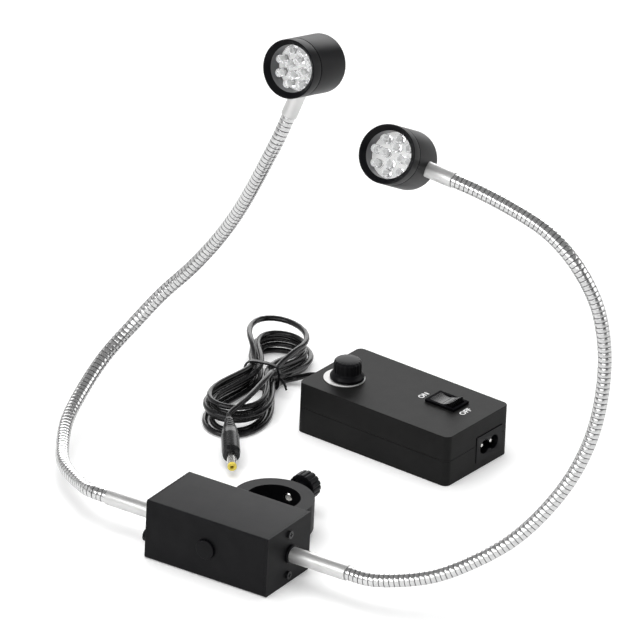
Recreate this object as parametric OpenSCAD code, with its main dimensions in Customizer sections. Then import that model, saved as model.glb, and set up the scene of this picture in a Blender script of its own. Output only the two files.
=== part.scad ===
// Dual gooseneck illuminator with its dimmer supply.
// A box with a ring clamp carries two LED lamps on gooseneck hoses. A separate
// supply with a dimmer knob and a rocker switch stands behind it, with its lead in a tied hank.
// Millimetres. Origin: centre of the housing's underside. +X to the right end, -Y front, +Z up.

/* [Housing] */
// Length of the housing, over its end plates
housing_len = 84; // [76:0.5:110]
// Depth of the housing, front to back
housing_depth = 46; // [42:0.5:60]
// Height of the housing
housing_height = 37.5; // [34:0.5:50]
// Wall of the housing tube
housing_wall = 2; // [1.5:0.1:3]
// Radius of the housing's long edges
housing_edge_r = 1.2; // [0.5:0.1:1.5]
// Thickness of an end plate
plate_thick = 1.5; // [1:0.1:3]
// Distance of the plate screws from the top and bottom faces
plate_screw_inset = 5.6; // [4.8:0.1:7]
// Width of the rails that carry the driver board
rail_w = 2.5; // [1.5:0.1:4]
// Height of the rails' top above the housing's floor
rail_h = 3; // [2:0.1:5]
// Length of the bosses that take the plate screws
boss_len = 10; // [9:0.5:12]
// Thickness of a circuit board
board_thick = 1.6; // [1:0.1:2]
// Length of the driver board
driver_len = 50; // [30:1:54]

/* [Push button] */
// Diameter of the push button
button_d = 12; // [8:0.5:16]
// How far the button stands out of the front
button_proud = 1.8; // [1.4:0.1:4]
// Travel of the button
button_travel = 1.2; // [0.5:0.1:1.3]
// Length of the button behind the front wall
button_tail = 3; // [2:0.1:5]

/* [Jack and plug hole] */
// Outer diameter of the DC jack and of the blanking plug
jack_d = 8.5; // [7:0.1:9]
// How far the jack stands out of its plate
jack_proud = 4; // [2:0.1:8]
// Distance of the jack from the edge of its plate
jack_inset = 7; // [6.8:0.1:10]
// Height of the jack above the underside
jack_z = 11; // [10.8:0.1:20]

/* [Clamp ring] */
// Bore for the post
post_bore_d = 32; // [20:0.5:40]
// Outer diameter of the ring
ring_d = 48.4; // [40:0.2:60]
// Height of the ring
ring_height = 18.5; // [14:0.5:26]
// Height of the ring's underside above the housing's
ring_lift = 4.5; // [2:0.1:8]
// Width of the foot that joins the ring to the housing
ring_foot_w = 26; // [22:0.5:36]
// Distance from the housing's back to the ring's nearest point
ring_foot_depth = 1.3; // [1:0.1:6]
// Distance between the bolts that hold the ring
ring_bolt_spacing = 15; // [12:0.5:18]

/* [Thumbscrew] */
// Diameter of the thumbscrew's knob
thumb_d = 17; // [12:0.5:24]
// Thickness of the knob
thumb_thick = 8.5; // [6:0.5:12]
// Ribs around the knob
thumb_ribs = 16; // [8:1:24]
// Diameter of the screw rod
screw_d = 6; // [4:0.5:8]
// Gap between the ring and the knob's hub
thumb_gap = 4.8; // [4.4:0.1:12]
// Height of the thumbscrew above the ring's underside
thumb_lift = 11.5; // [6:0.1:12]

/* [Gooseneck] */
// Diameter over the ribs of the hose
neck_d = 8; // [7:0.1:9]
// Diameter at the bottom of the grooves
neck_root_d = 7; // [6:0.1:8]
// Bore of the hose
neck_bore_d = 4.4; // [3:0.1:5]
// Ribs on each hose
neck_ribs = 84; // [40:2:100]
// Diameter of the ferrules
ferrule_d = 9.5; // [9.2:0.1:12]
// Length of the base ferrule outside its collar
base_ferrule_len = 38; // [20:0.5:60]
// Length of the lamp ferrule outside the barrel
lamp_ferrule_len = 17; // [8:0.5:30]
// Distance of the ferrules from the middle of their plates, the right one to the back
ferrule_y = 2; // [0:0.1:4]
// Height of the base ferrules above the underside
ferrule_z = 18.5; // [17:0.1:21]
// Thickness of the collar between plate and ferrule
collar_thick = 1.5; // [1:0.1:5]
// Diameter of the collar
collar_d = 11.6; // [11:0.1:16]

/* [Lamp] */
// Outer diameter of the lamp
lamp_d = 35; // [33:0.5:45]
// Length of the lamp, front to back
lamp_len = 35.5; // [33:0.5:50]
// Length of the front bezel
bezel_len = 8.5; // [7:0.1:9]
// Diameter of the window
window_d = 28; // [26:0.1:30]
// Distance from the front to the stem's axis
stem_back = 25; // [23:0.1:27]
// Small lenses in the outer ring
lenses_outer = 8; // [6:1:10]
// Small lenses in the inner ring
lenses_inner = 4; // [3:1:5]
// Diameter of a small lens
lens_d = 5.5; // [4:0.1:6]

/* [Supply] */
// Length of the supply
supply_len = 110; // [100:0.5:130]
// Width of the supply
supply_width = 60; // [54:0.5:80]
// Height of the supply
supply_height = 32; // [29:0.5:40]
// Wall of the supply's shells
supply_wall = 2; // [1.5:0.1:2.5]
// Radius of the supply's upright edges
supply_edge_r = 4; // [2.5:0.1:6]
// Place of the supply's centre, to the right of the housing's
supply_x = -2; // [-20:0.5:20]
// Place of the supply's centre, behind the housing's
supply_y = 192; // [185:0.5:215]
// Turn of the supply on the table
supply_yaw = -4.3; // [-10:0.1:5]

/* [Dimmer and switch] */
// Diameter of the dimmer knob's cap
knob_cap_d = 16.6; // [14:0.1:20]
// Diameter of the dimmer knob's skirt
knob_skirt_d = 20.5; // [17:0.1:24]
// Height of the dimmer knob
knob_height = 13; // [11:0.1:18]
// Distance of the knob from the supply's left end
knob_inset = 19.2; // [16:0.1:24]
// Distance of the knob behind the supply's middle
knob_y = -8; // [-12:0.1:4]
// Diameter of the dial plate
dial_d = 24.7; // [22:0.1:30]
// Length of the switch frame
switch_len = 21; // [18:0.1:26]
// Width of the switch frame
switch_width = 15; // [13:0.1:18]
// Distance of the switch from the supply's right end
switch_inset = 28.7; // [28:0.1:36]
// Distance of the switch behind the supply's middle
switch_y = 6.8; // [0:0.1:10]

/* [Inlet] */
// Width of the mains inlet
inlet_w = 24.5; // [22:0.1:28]
// Height of the mains inlet
inlet_h = 16.6; // [14:0.1:18]
// Distance of the inlet behind the supply's middle
inlet_y = 10.7; // [0:0.1:11]
// Height of the inlet's centre
inlet_z = 13; // [12.5:0.1:14]
// Distance between the inlet's pins
inlet_pin_spacing = 8.6; // [8:0.1:9]

/* [Lead and plug] */
// Diameter of the lead
lead_d = 3.4; // [3:0.1:3.6]
// Loops in the hank
hank_loops = 6; // [6]
// Half length of the innermost loop
hank_half_len = 47; // [44:1:52]
// Bulge of the innermost loop's lobes
hank_bulge = 30; // [27:1:32]
// Diameter of the plug's grip
grip_d = 11; // [10:0.1:12]
// Length of the plug's grip
grip_len = 35; // [30:0.5:40]
// Diameter of the plug's barrel
plug_barrel_d = 5.5; // [5:0.1:5.7]
// Length of the plug's barrel with its tip
plug_barrel_len = 11; // [9:0.1:14]

/* [Fits] */
// Radial clearance of a running fit
run_clear = 0.05; // [0.03:0.01:0.08]
// Clearance around a piece that sits in a cut-out
seat_clear = 0.15; // [0.1:0.01:0.3]

/* [Hidden] */
$fn = 48;
tiny = 0.01;

// Colours
black_paint = [0.10, 0.10, 0.11];
black_plastic = [0.13, 0.13, 0.14];
grey_plastic = [0.28, 0.28, 0.29];
bright_metal = [0.78, 0.78, 0.80];
board_green = [0.10, 0.35, 0.20];
clear_lens = [0.85, 0.88, 0.90];
dial_white = [0.90, 0.90, 0.88];
tip_yellow = [0.90, 0.80, 0.25];

// Housing
shell_len = housing_len - 2 * plate_thick;
housing_mid_z = housing_height / 2;
screw_boss_r = 3;
screw_shank_r = 1.2;
screw_shank_len = 8;
screw_head_r = 2.4;
screw_head_h = 1.4;
screw_pilot_r = screw_shank_r + run_clear;
screw_through_r = screw_shank_r + seat_clear;
cross_w = 0.7;
cross_depth = 0.8;
button_r = button_d / 2;
front_y = -housing_depth / 2;
back_y = housing_depth / 2;
button_end_y = front_y + housing_wall + button_tail;
button_spare = 0.6;
switch_floor = 2;
switch_floor_y = button_end_y + button_travel + button_spare;
switch_cup_wall = 2;
rail_top = housing_wall + rail_h;
cavity_depth = housing_depth - 2 * housing_wall;
chip_h = 6;
chip_len = 14;
chip_w = 10;
chip_inset = 4;
can_r = 4;
can_inset = 12;

// Jack and blanking plug
jack_r = jack_d / 2;
jack_neck_r = jack_r - 0.4;
jack_body_r = jack_neck_r + 0.6;
jack_y = housing_depth / 2 - jack_inset;
jack_body_len = 10;
jack_bore_r = 2.85;
jack_pin_r = 1.05;
jack_back = 1.5;
plug_dome_h = 2.5;
plug_tail = 4;

// Clamp ring and thumbscrew
ring_r = ring_d / 2;
post_r = post_bore_d / 2;
ring_y = back_y + ring_foot_depth + ring_r;
bolt_z = ring_lift + ring_height / 2;
screw_z = ring_lift + thumb_lift;
bolt_r = 1.6;
bolt_head_r = 3.4;
bolt_head_h = 2.4;
bolt_grip = 6;
hex_r = 1.5;
hex_depth = 1.4;
screw_r = screw_d / 2;
screw_bore_r = screw_r + run_clear;
pad_len = 2.5;
pad_recess = 0.3;
pad_front_y = ring_y + post_r + pad_recess;
rod_front_y = pad_front_y + pad_len + run_clear;
hub_len = 1.5;
hub_r = screw_r + 2.2;
hub_y = ring_y + ring_r + thumb_gap;
thumb_y = hub_y + hub_len;
rod_end_y = thumb_y + thumb_thick - 2;
thumb_r = thumb_d / 2;
thumb_groove_r = 0.9;

// Necks: points are offsets from the mouth of the base ferrule, chosen by hand.
// The first and last stretch of each hose is straight, one hose diameter long.
neck_straight = neck_d;
neck_mouth = housing_len / 2 + collar_thick + base_ferrule_len;
spigot_r = 4;
spigot_tail = 6;
nut_thick = 3;
nut_r = 6.5;
left_route = [
    [-27, 10, -3], [-47, 25, -4], [-62, 46, -4], [-74, 69, -1], [-80, 93, 6], [-80, 116, 19], [-72, 134, 36],
    [-59, 143, 56], [-43, 149, 76], [-28, 151, 97], [-14, 149, 119], [-2, 146, 141], [9, 144, 164]
];
left_end = [20, 148, 195];
right_route = [
    [27, 4, 2], [50, 14, 8], [70, 27, 19], [87, 40, 33], [100, 53, 51], [110, 64, 72], [116, 73, 96],
    [117, 80, 121], [114, 85, 146], [107, 86, 171], [94, 83, 194], [74, 83, 209], [49, 83, 217]
];
right_end = [9.5, 81, 224.5];
// How each lamp is turned: about Z, then up, then its stem about the lamp's axis
left_aim = [-1, 15, -14];
right_aim = [6, 29, 82];
// Where the stretches of each hose end, as shares of its ribs
neck_cuts = [0, 0.12, 0.44, 0.56, 0.88, 1];

// Lamps
lamp_r = lamp_d / 2;
lamp_front = -stem_back;
lamp_back = lamp_len - stem_back;
barrel_front = lamp_front + bezel_len;
barrel_wall = 2;
barrel_in_r = lamp_r - barrel_wall;
shoulder_r = lamp_r - 4;
window_r = window_d / 2;
bezel_spigot_len = 4;
bezel_spigot_r = barrel_in_r - run_clear;
bezel_lip_r = lamp_r - 0.7;
bezel_lip_depth = 3;
lens_plate_thick = 2;
lens_plate_r = barrel_in_r - seat_clear;
lens_plate_y = barrel_front + bezel_spigot_len;
led_plate_y = lens_plate_y + lens_plate_thick;
led_plate_thick = 2;
shoulder_y = led_plate_y + led_plate_thick;
lens_height = 4;
outer_lens_ring = window_r - lens_d / 2 - 0.7;
inner_lens_ring = outer_lens_ring / 2 - 0.3;
barrel_back_wall = 2.5;
ferrule_r = ferrule_d / 2;
ferrule_seat = shoulder_r + 0.5;

// Supply, in its own frame: origin at the centre of its underside
seam_z = supply_height / 2;
supply_in_r = max(supply_edge_r - supply_wall, 0.5);
post_end_gap = 24;
post_side_gap = 6;
post_x = supply_len / 2 - post_end_gap;
post_y = supply_width / 2 - post_side_gap;
post_grip = 4;
post_r2 = 3.2;
knob_x = -supply_len / 2 + knob_inset;
switch_x = supply_len / 2 - switch_inset;
pot_r = 8;
pot_h = 9;
bush_r = 3.5;
bush_proud = 2;
shaft_r = 3;
shaft_dip = 6;
knob_float = 0.5;
dial_thick = 0.4;
dial_shift = 2;
knob_bottom = supply_height + dial_thick + knob_float;
knob_skirt_h = 4;
knob_top_wall = 2.5;
knob_bush_gap = 0.8;
knob_flutes = 18;
flute_r = 0.7;
frame_flange = 1.5;
frame_body_gap = 1;
frame_body_h = 12;
frame_wall = 0.8;
rocker_clear = 0.25;
rocker_tilt = 10;
rocker_pin_r = 1.2;
rocker_deep = 4.5;
rocker_crown = 1;
rocker_horn = 0.6;
rocker_steps = 8;
rocker_z = supply_height + 0.2;
rocker_half = switch_len / 2 - frame_body_gap - frame_wall - rocker_clear - 0.4;
inlet_deep = 16;
inlet_proud = 0.4;
inlet_recess = 12;
inlet_lobe_r = 4.4;
inlet_web = 5.6;
pin_r = 1.2;
pin_len = 10;
sboard_rail_h = 3;
sboard_rail_w = 2;
sboard_len = 72;
sboard_w = 38;
sboard_x = -8;
transformer = [30, 26, 12];
transformer_y = 4;
supply_can_r = 4;
supply_can_h = 10;
supply_can_inset = 8;
supply_can_y = 12;
relief_r = 3.4;
relief_end_r = 2.4;
relief_len = 10;
relief_flange_r = 4.6;
relief_flange = 1.5;
lead_y = 14;
lead_z = 14.5;

// Lead: points in the supply's frame, chosen by hand
lead_r = lead_d / 2;
relief_end = [-supply_len / 2 - relief_len, lead_y, lead_z];
hank_place = [-102, -2, 0];
hank_turn = 16.6;
hank_waist = 2.2;
hank_round = 0.2;
hank_turn_gap = 0.65;
hank_step = lead_d + hank_turn_gap;
hank_layers = 4;
hank_rings = 24;
hank_climb_turns = 0.2;
// How far the half turns stray at their ends, front and rear in turn, in the order of winding
arc_lean = [0, -2, 0, -3, -2, -3, -2, -4, -2, -3, -2, -8];
arc_reach = [12, 0, 12, 2, 5, 2, 6, 0, 6, 0, 4, 3];
// Rise of the last half turn over the one before it
last_arc_rise = 5;
last_arc_start = 0.5;
turns_a_layer = hank_loops / hank_layers;
hank_span = hank_step * turns_a_layer;
tie_thick = 1.2;
tie_w = 3;
tie_gap = 0.35;
hank_lift = tie_thick + tie_gap;
tie_in_w = hank_waist + hank_span + lead_r + tie_gap;
tie_in_h = lead_d + (hank_layers - 1) * hank_step + 2 * tie_gap;
plug_place = [-76, -68.5, 14.5];
plug_yaw = 40;
plug_dip = 10;
grip_end_r = 2.6;
grip_taper = 12;
grip_grooves = 4;
tip_len = 2;
tip_bore_r = 1.1;

// Small vector helpers
function unit(v) = v / norm(v);
function turn_z(v, a) = [v.x * cos(a) - v.y * sin(a), v.x * sin(a) + v.y * cos(a), v.z];
function tip_up(v, a) = [v.x, v.y * cos(a) + v.z * sin(a), v.z * cos(a) - v.y * sin(a)];
function mix(a, b, t) = a + (b - a) * t;
function smooth(t) = t * t * (3 - 2 * t);

// A smooth curve through the points p that starts along first and ends along last
function tangent(p, i, first, last) =
    i == 0 ? first * norm(p[1] - p[0])
    : i == len(p) - 1 ? last * norm(p[i] - p[i - 1])
    : (p[i + 1] - p[i - 1]) / 2;
function curve_point(p, i, t, first, last) =
    let (m = tangent(p, i, first, last), n = tangent(p, i + 1, first, last))
    (2 * t ^ 3 - 3 * t ^ 2 + 1) * p[i] + (t ^ 3 - 2 * t ^ 2 + t) * m
    + (3 * t ^ 2 - 2 * t ^ 3) * p[i + 1] + (t ^ 3 - t ^ 2) * n;
function curve(p, first, last, steps) = concat(
    [for (i = [0 : len(p) - 2]) for (k = [0 : steps - 1]) curve_point(p, i, k / steps, first, last)],
    [p[len(p) - 1]]
);

// Points at equal steps along a path
function lengths(p) = [for (i = 0, s = 0; i < len(p); i = i + 1,
    s = i < len(p) ? s + norm(p[i] - p[i - 1]) : s) s];
function along(p, count) =
    let (
        s = lengths(p),
        x = [for (i = [0 : len(p) - 1]) [s[i], p[i].x]],
        y = [for (i = [0 : len(p) - 1]) [s[i], p[i].y]],
        z = [for (i = [0 : len(p) - 1]) [s[i], p[i].z]],
        total = s[len(s) - 1]
    )
    [for (i = [0 : count]) let (d = total * i / count) [lookup(d, x), lookup(d, y), lookup(d, z)]];

// Directions along a path, and a side vector that turns with it as little as it can
function headings(p, first, last) = [for (i = [0 : len(p) - 1])
    i == 0 ? first : i == len(p) - 1 ? last : unit(p[i + 1] - p[i - 1])];
function sides_of(t, start) = [for (i = 0, n = start; i < len(t); i = i + 1,
    n = i < len(t) ? unit(n - (n * t[i]) * t[i]) : n) n];
function ring(c, t, n, r, sides) = [for (k = [0 : sides - 1])
    c + r * (cos(360 * k / sides) * n + sin(360 * k / sides) * cross(t, n))];

// Faces of a tube's skin whose rings start at the point number base
function skin(rings, sides, base, inward) = [for (i = [0 : rings - 2]) for (k = [0 : sides - 1])
    let (
        a = base + i * sides + k,
        b = base + i * sides + (k + 1) % sides,
        c = a + sides,
        d = b + sides
    )
    each inward ? [[a, d, c], [a, b, d]] : [[a, c, d], [a, d, b]]];
function flat(list) = [for (part = list) each part];

// A solid tube through the given ring centres
module tube(p, first, last, r, sides, up) {
    t = headings(p, first, last);
    n = sides_of(t, unit(up - (up * first) * first));
    rings = [for (i = [0 : len(p) - 1]) ring(p[i], t[i], n[i], r, sides)];
    end = (len(p) - 1) * sides;
    caps = [for (k = [1 : sides - 2]) each [[0, k, k + 1], [end, end + k + 1, end + k]]];
    polyhedron(flat(rings), concat(skin(len(p), sides, 0, false), caps), convexity = 10);
}

// Placing helpers
module along_x(from, len) translate([from, 0, 0]) rotate([90, 0, 90]) linear_extrude(len) children();
module rod_x(r, from, len) translate([from, 0, 0]) rotate([0, 90, 0]) cylinder(r = r, h = len);
module rod_y(r, from, len) translate([0, from, 0]) rotate([-90, 0, 0]) cylinder(r = r, h = len);
module at_supply() translate([supply_x, supply_y, 0]) rotate([0, 0, supply_yaw]) children();
module both_ends() {
    children();
    rotate([0, 0, 180]) children();
}

// A rectangle with round corners, centred
module round_rect(w, h, r) {
    square([w - 2 * r, h], center = true);
    square([w, h - 2 * r], center = true);
    for (x = [-1, 1], y = [-1, 1])
        translate([x * (w / 2 - r), y * (h / 2 - r)]) circle(r);
}

// A cross-head screw whose head rests on z = 0, shank downwards
module case_screw() {
    difference() {
        union() {
            cylinder(r = screw_head_r, h = screw_head_h);
            translate([0, 0, -screw_shank_len]) cylinder(r = screw_shank_r, h = screw_shank_len + tiny);
        }
        for (a = [0, 90])
            rotate([0, 0, a])
                translate([0, 0, screw_head_h - cross_depth / 2 + tiny])
                    cube([screw_head_r * 1.2, cross_w, cross_depth], center = true);
    }
}

// Housing
plate_screw_zs = [plate_screw_inset, housing_height - plate_screw_inset];

module housing_outline() {
    translate([0, housing_mid_z]) round_rect(housing_depth, housing_height, housing_edge_r);
}

module housing_shell() color(black_paint) {
    difference() {
        along_x(-shell_len / 2, shell_len) {
            difference() {
                housing_outline();
                translate([0, housing_mid_z])
                    square([cavity_depth, housing_height - 2 * housing_wall], center = true);
            }
            for (s = [-1, 1])
                translate([s * (cavity_depth / 2 - rail_w / 2), rail_top - 1])
                    square([rail_w, 2], center = true);
        }
        translate([0, 0, housing_mid_z]) rod_y(button_r + seat_clear, front_y - tiny, housing_wall + 2 * tiny);
        for (s = [-1, 1])
            translate([s * ring_bolt_spacing / 2, 0, bolt_z])
                rod_y(bolt_r + seat_clear, back_y - housing_wall - tiny, housing_wall + 2 * tiny);
    }
    both_ends() along_x(shell_len / 2 - boss_len, boss_len) screw_bosses();
}

// The bosses that take an end plate's screws, joined to the floor and the roof
module screw_bosses() {
    boss_root = plate_screw_inset - housing_wall / 2;
    for (s = [-1, 1])
        translate([0, housing_mid_z + s * (housing_mid_z - plate_screw_inset)])
            difference() {
                union() {
                    circle(screw_boss_r);
                    translate([0, s * boss_root / 2]) square([2 * screw_boss_r, boss_root], center = true);
                }
                circle(screw_pilot_r);
            }
}

// The right end plate; the left one is the same, turned round
module end_plate() {
    from = housing_len / 2 - plate_thick;
    difference() {
        along_x(from, plate_thick) housing_outline();
        for (z = plate_screw_zs)
            translate([0, 0, z]) rod_x(screw_through_r, from - tiny, plate_thick + 2 * tiny);
        translate([0, ferrule_y, ferrule_z]) rod_x(spigot_r + run_clear, from - tiny, plate_thick + 2 * tiny);
        translate([0, jack_y, jack_z]) rod_x(jack_neck_r + run_clear, from - tiny, plate_thick + 2 * tiny);
    }
}
module left_end_plate() color(black_paint) rotate([0, 0, 180]) end_plate();
module right_end_plate() color(black_paint) end_plate();

module case_screws() color(bright_metal) {
    both_ends()
        for (z = plate_screw_zs)
            translate([housing_len / 2, 0, z]) rotate([0, 90, 0]) case_screw();
    at_supply()
        for (x = [-1, 1], y = [-1, 1])
            translate([x * post_x, y * post_y, seam_z - post_grip]) rotate([180, 0, 0]) case_screw();
}

module push_button() color(black_plastic) translate([0, 0, housing_mid_z]) {
    difference() {
        rod_y(button_r, front_y - button_proud, button_end_y - front_y + button_proud);
        rod_y(button_r - 1.5, front_y - button_proud - tiny, 0.3);
    }
}

module push_switch() color(grey_plastic) translate([0, 0, housing_mid_z]) {
    start = front_y + housing_wall;
    difference() {
        rod_y(button_r + switch_cup_wall, start, switch_floor_y + switch_floor - start);
        rod_y(button_r + run_clear, start - tiny, switch_floor_y - start + tiny);
    }
}

module dc_jack() color(black_plastic) rotate([0, 0, 180]) translate([housing_len / 2, jack_y, jack_z]) {
    deep = jack_proud + plate_thick + jack_body_len;
    difference() {
        union() {
            rod_x(jack_r, 0, jack_proud);
            rod_x(jack_neck_r, -plate_thick - tiny, plate_thick + 2 * tiny);
            rod_x(jack_body_r, -plate_thick - jack_body_len, jack_body_len);
        }
        rod_x(jack_bore_r, jack_back - plate_thick - jack_body_len, deep);
    }
    rod_x(jack_pin_r, jack_back - plate_thick - jack_body_len - tiny, deep - jack_back - 2);
}

module blanking_plug() color(black_plastic) translate([housing_len / 2, jack_y, jack_z]) {
    rod_x(jack_neck_r, -plate_thick - plug_tail, plate_thick + plug_tail + tiny);
    rotate([0, 90, 0]) {
        cylinder(r = jack_r, h = plug_dome_h - 1);
        translate([0, 0, plug_dome_h - 1]) cylinder(r1 = jack_r, r2 = jack_r - 1, h = 1);
    }
}

module driver_board() color(board_green) {
    w = cavity_depth - 2 * seat_clear;
    translate([-driver_len / 2, -w / 2, rail_top]) cube([driver_len, w, board_thick]);
    translate([-driver_len / 2 + chip_inset, w / 2 - chip_w - chip_inset, rail_top + board_thick - tiny])
        cube([chip_len, chip_w, chip_h]);
    translate([driver_len / 2 - can_inset, w / 2 - can_inset, rail_top + board_thick - tiny])
        cylinder(r = can_r, h = chip_h);
}

module clamp_ring() color(black_paint) {
    difference() {
        translate([0, 0, ring_lift]) {
            translate([0, ring_y, 0]) cylinder(r = ring_r, h = ring_height, $fn = 96);
            translate([-ring_foot_w / 2, back_y, 0]) cube([ring_foot_w, ring_y - back_y, ring_height]);
        }
        translate([0, ring_y, ring_lift - tiny]) cylinder(r = post_r, h = ring_height + 2 * tiny, $fn = 96);
        translate([0, 0, screw_z]) rod_y(screw_bore_r, ring_y + post_r / 2, ring_r);
        for (s = [-1, 1])
            translate([s * ring_bolt_spacing / 2, 0, bolt_z])
                rod_y(bolt_r + seat_clear, back_y - tiny, bolt_grip + seat_clear);
    }
}

module clamp_bolts() color(bright_metal) {
    seat_y = back_y - housing_wall;
    for (s = [-1, 1])
        translate([s * ring_bolt_spacing / 2, 0, bolt_z])
            difference() {
                union() {
                    rod_y(bolt_head_r, seat_y - bolt_head_h, bolt_head_h);
                    rod_y(bolt_r, seat_y - tiny, housing_wall + bolt_grip);
                }
                translate([0, seat_y - bolt_head_h - tiny, 0])
                    rotate([-90, 0, 0]) cylinder(r = hex_r, h = hex_depth, $fn = 6);
            }
}

module thumbscrew_knob() color(black_plastic) translate([0, 0, screw_z]) {
    difference() {
        union() {
            rod_y(hub_r, hub_y, hub_len + tiny);
            rod_y(thumb_r, thumb_y, thumb_thick);
        }
        for (k = [0 : thumb_ribs - 1])
            rotate([0, 360 * k / thumb_ribs, 0])
                translate([thumb_r, 0, 0]) rod_y(thumb_groove_r, thumb_y - tiny, thumb_thick + 2 * tiny);
        rod_y(screw_r + run_clear / 2, hub_y - tiny, rod_end_y - hub_y + tiny);
    }
}

module thumbscrew_rod() color(bright_metal) translate([0, 0, screw_z])
    rod_y(screw_r, rod_front_y, rod_end_y - rod_front_y);

module screw_pad() color(bright_metal) translate([0, 0, screw_z])
    rod_y(screw_r - run_clear / 2, pad_front_y, pad_len);

// Arms
module ferrule_collars() color(black_plastic) both_ends()
    translate([0, ferrule_y, ferrule_z])
        difference() {
            rod_x(collar_d / 2, housing_len / 2, collar_thick);
            rod_x(spigot_r + run_clear, housing_len / 2 - tiny, collar_thick + 2 * tiny);
        }

module ferrule_nuts() color(bright_metal) both_ends()
    translate([housing_len / 2 - plate_thick - nut_thick, ferrule_y, ferrule_z])
        rotate([0, 90, 0])
            difference() {
                cylinder(r = nut_r, h = nut_thick, $fn = 6);
                translate([0, 0, -tiny]) cylinder(r = spigot_r + run_clear, h = nut_thick + 2 * tiny, $fn = 48);
            }

// A base ferrule on the right side
module base_ferrule() color(bright_metal) translate([0, ferrule_y, ferrule_z]) {
    start = housing_len / 2 + collar_thick;
    back = housing_len / 2 - plate_thick - spigot_tail;
    difference() {
        union() {
            rod_x(ferrule_r, start, base_ferrule_len);
            rod_x(spigot_r, back, start - back + tiny);
        }
        rod_x(neck_bore_d / 2, back - tiny, neck_mouth - back + 2 * tiny);
    }
}
module left_base_ferrule() rotate([0, 0, 180]) base_ferrule();
module right_base_ferrule() base_ferrule();

// Direction in which a hose runs into its lamp
function stem_heading(aim) =
    turn_z(tip_up([-sin(aim[2]), 0, cos(aim[2])], aim[1]), aim[0]);

// Ring centres of one hose: two for each rib, and one at the end
function neck_path(side, route, end, aim) =
    let (
        mouth = [side * neck_mouth, side * ferrule_y, ferrule_z],
        first = [side, 0, 0],
        last = stem_heading(aim),
        bent = concat([first * neck_straight], route, [end - last * neck_straight])
    )
    [for (p = along(concat([[0, 0, 0]], curve(bent, first, last, 12), [end]), 2 * neck_ribs)) mouth + p];

left_path = neck_path(-1, left_route, left_end, left_aim);
right_path = neck_path(1, right_route, right_end, right_aim);
left_headings = headings(left_path, [-1, 0, 0], stem_heading(left_aim));
right_headings = headings(right_path, [1, 0, 0], stem_heading(right_aim));
left_sides = sides_of(left_headings, [0, 0, 1]);
right_sides = sides_of(right_headings, [0, 0, 1]);
function neck_cut(i) = 2 * round(neck_cuts[i] * neck_ribs);

// Stretch number i of a hose, with its ribs and its bore
neck_sides = 8;
bore_every = 6;
module neck_stretch(path, head, side, i) color(bright_metal) {
    from = neck_cut(i);
    to = neck_cut(i + 1);
    outer = [for (k = [from : to])
        ring(path[k], head[k], side[k], (k % 2 == 0 ? neck_root_d : neck_d) / 2, neck_sides)];
    bore_at = concat([for (k = [from : bore_every : to - 1]) k], [to]);
    inner = [for (k = bore_at) ring(path[k], head[k], side[k], neck_bore_d / 2, neck_sides)];
    base = len(outer) * neck_sides;
    out_end = base - neck_sides;
    in_end = base + (len(inner) - 1) * neck_sides;
    caps = [for (k = [0 : neck_sides - 1])
        let (n = (k + 1) % neck_sides)
        each [
            [k, n, base + n], [k, base + n, base + k],
            [out_end + n, out_end + k, in_end + k], [out_end + n, in_end + k, in_end + n]
        ]];
    faces = concat(
        skin(len(outer), neck_sides, 0, false), skin(len(inner), neck_sides, base, true), caps
    );
    polyhedron(flat(concat(outer, inner)), faces, convexity = 20);
}
module left_stretch(i) neck_stretch(left_path, left_headings, left_sides, i);
module right_stretch(i) neck_stretch(right_path, right_headings, right_sides, i);
module left_neck_base_bend() left_stretch(0);
module left_neck_lower() left_stretch(1);
module left_neck_middle_bend() left_stretch(2);
module left_neck_upper() left_stretch(3);
module left_neck_head_bend() left_stretch(4);
module right_neck_base_bend() right_stretch(0);
module right_neck_lower() right_stretch(1);
module right_neck_middle_bend() right_stretch(2);
module right_neck_upper() right_stretch(3);
module right_neck_head_bend() right_stretch(4);

// Lamps: in a lamp's own frame the front faces -Y and the stem leaves along -Z.
// The origin is where the stem's axis meets the lamp's.
function lamp_place(path, aim) =
    path[len(path) - 1] + stem_heading(aim) * (lamp_ferrule_len + lamp_r);
module at_lamp(path, aim)
    translate(lamp_place(path, aim)) rotate([-aim[1], 0, aim[0]]) rotate([0, -aim[2], 0]) children();
module at_left_lamp() at_lamp(left_path, left_aim) children();
module at_right_lamp() at_lamp(right_path, right_aim) children();

module lamp_ferrule() color(bright_metal)
    translate([0, 0, -lamp_r - lamp_ferrule_len])
        difference() {
            cylinder(r = ferrule_r, h = lamp_ferrule_len + lamp_r - ferrule_seat);
            translate([0, 0, -tiny]) cylinder(r = neck_bore_d / 2, h = lamp_ferrule_len + lamp_r);
        }

module lamp_barrel() color(black_plastic)
    difference() {
        rod_y(lamp_r, barrel_front, lamp_back - barrel_front);
        rod_y(barrel_in_r, barrel_front - tiny, shoulder_y - barrel_front + tiny);
        rod_y(shoulder_r, barrel_front, lamp_back - barrel_back_wall - barrel_front);
        translate([0, 0, -lamp_r - tiny]) cylinder(r = ferrule_r + run_clear, h = lamp_r);
    }

module lamp_bezel() color(black_plastic)
    difference() {
        union() {
            rod_y(lamp_r, lamp_front, bezel_len);
            rod_y(bezel_spigot_r, barrel_front - tiny, bezel_spigot_len + tiny);
        }
        rod_y(window_r, lamp_front - tiny, bezel_len + bezel_spigot_len + 2 * tiny);
        translate([0, lamp_front - tiny, 0])
            rotate([-90, 0, 0]) cylinder(r1 = bezel_lip_r, r2 = window_r, h = bezel_lip_depth);
    }

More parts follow.
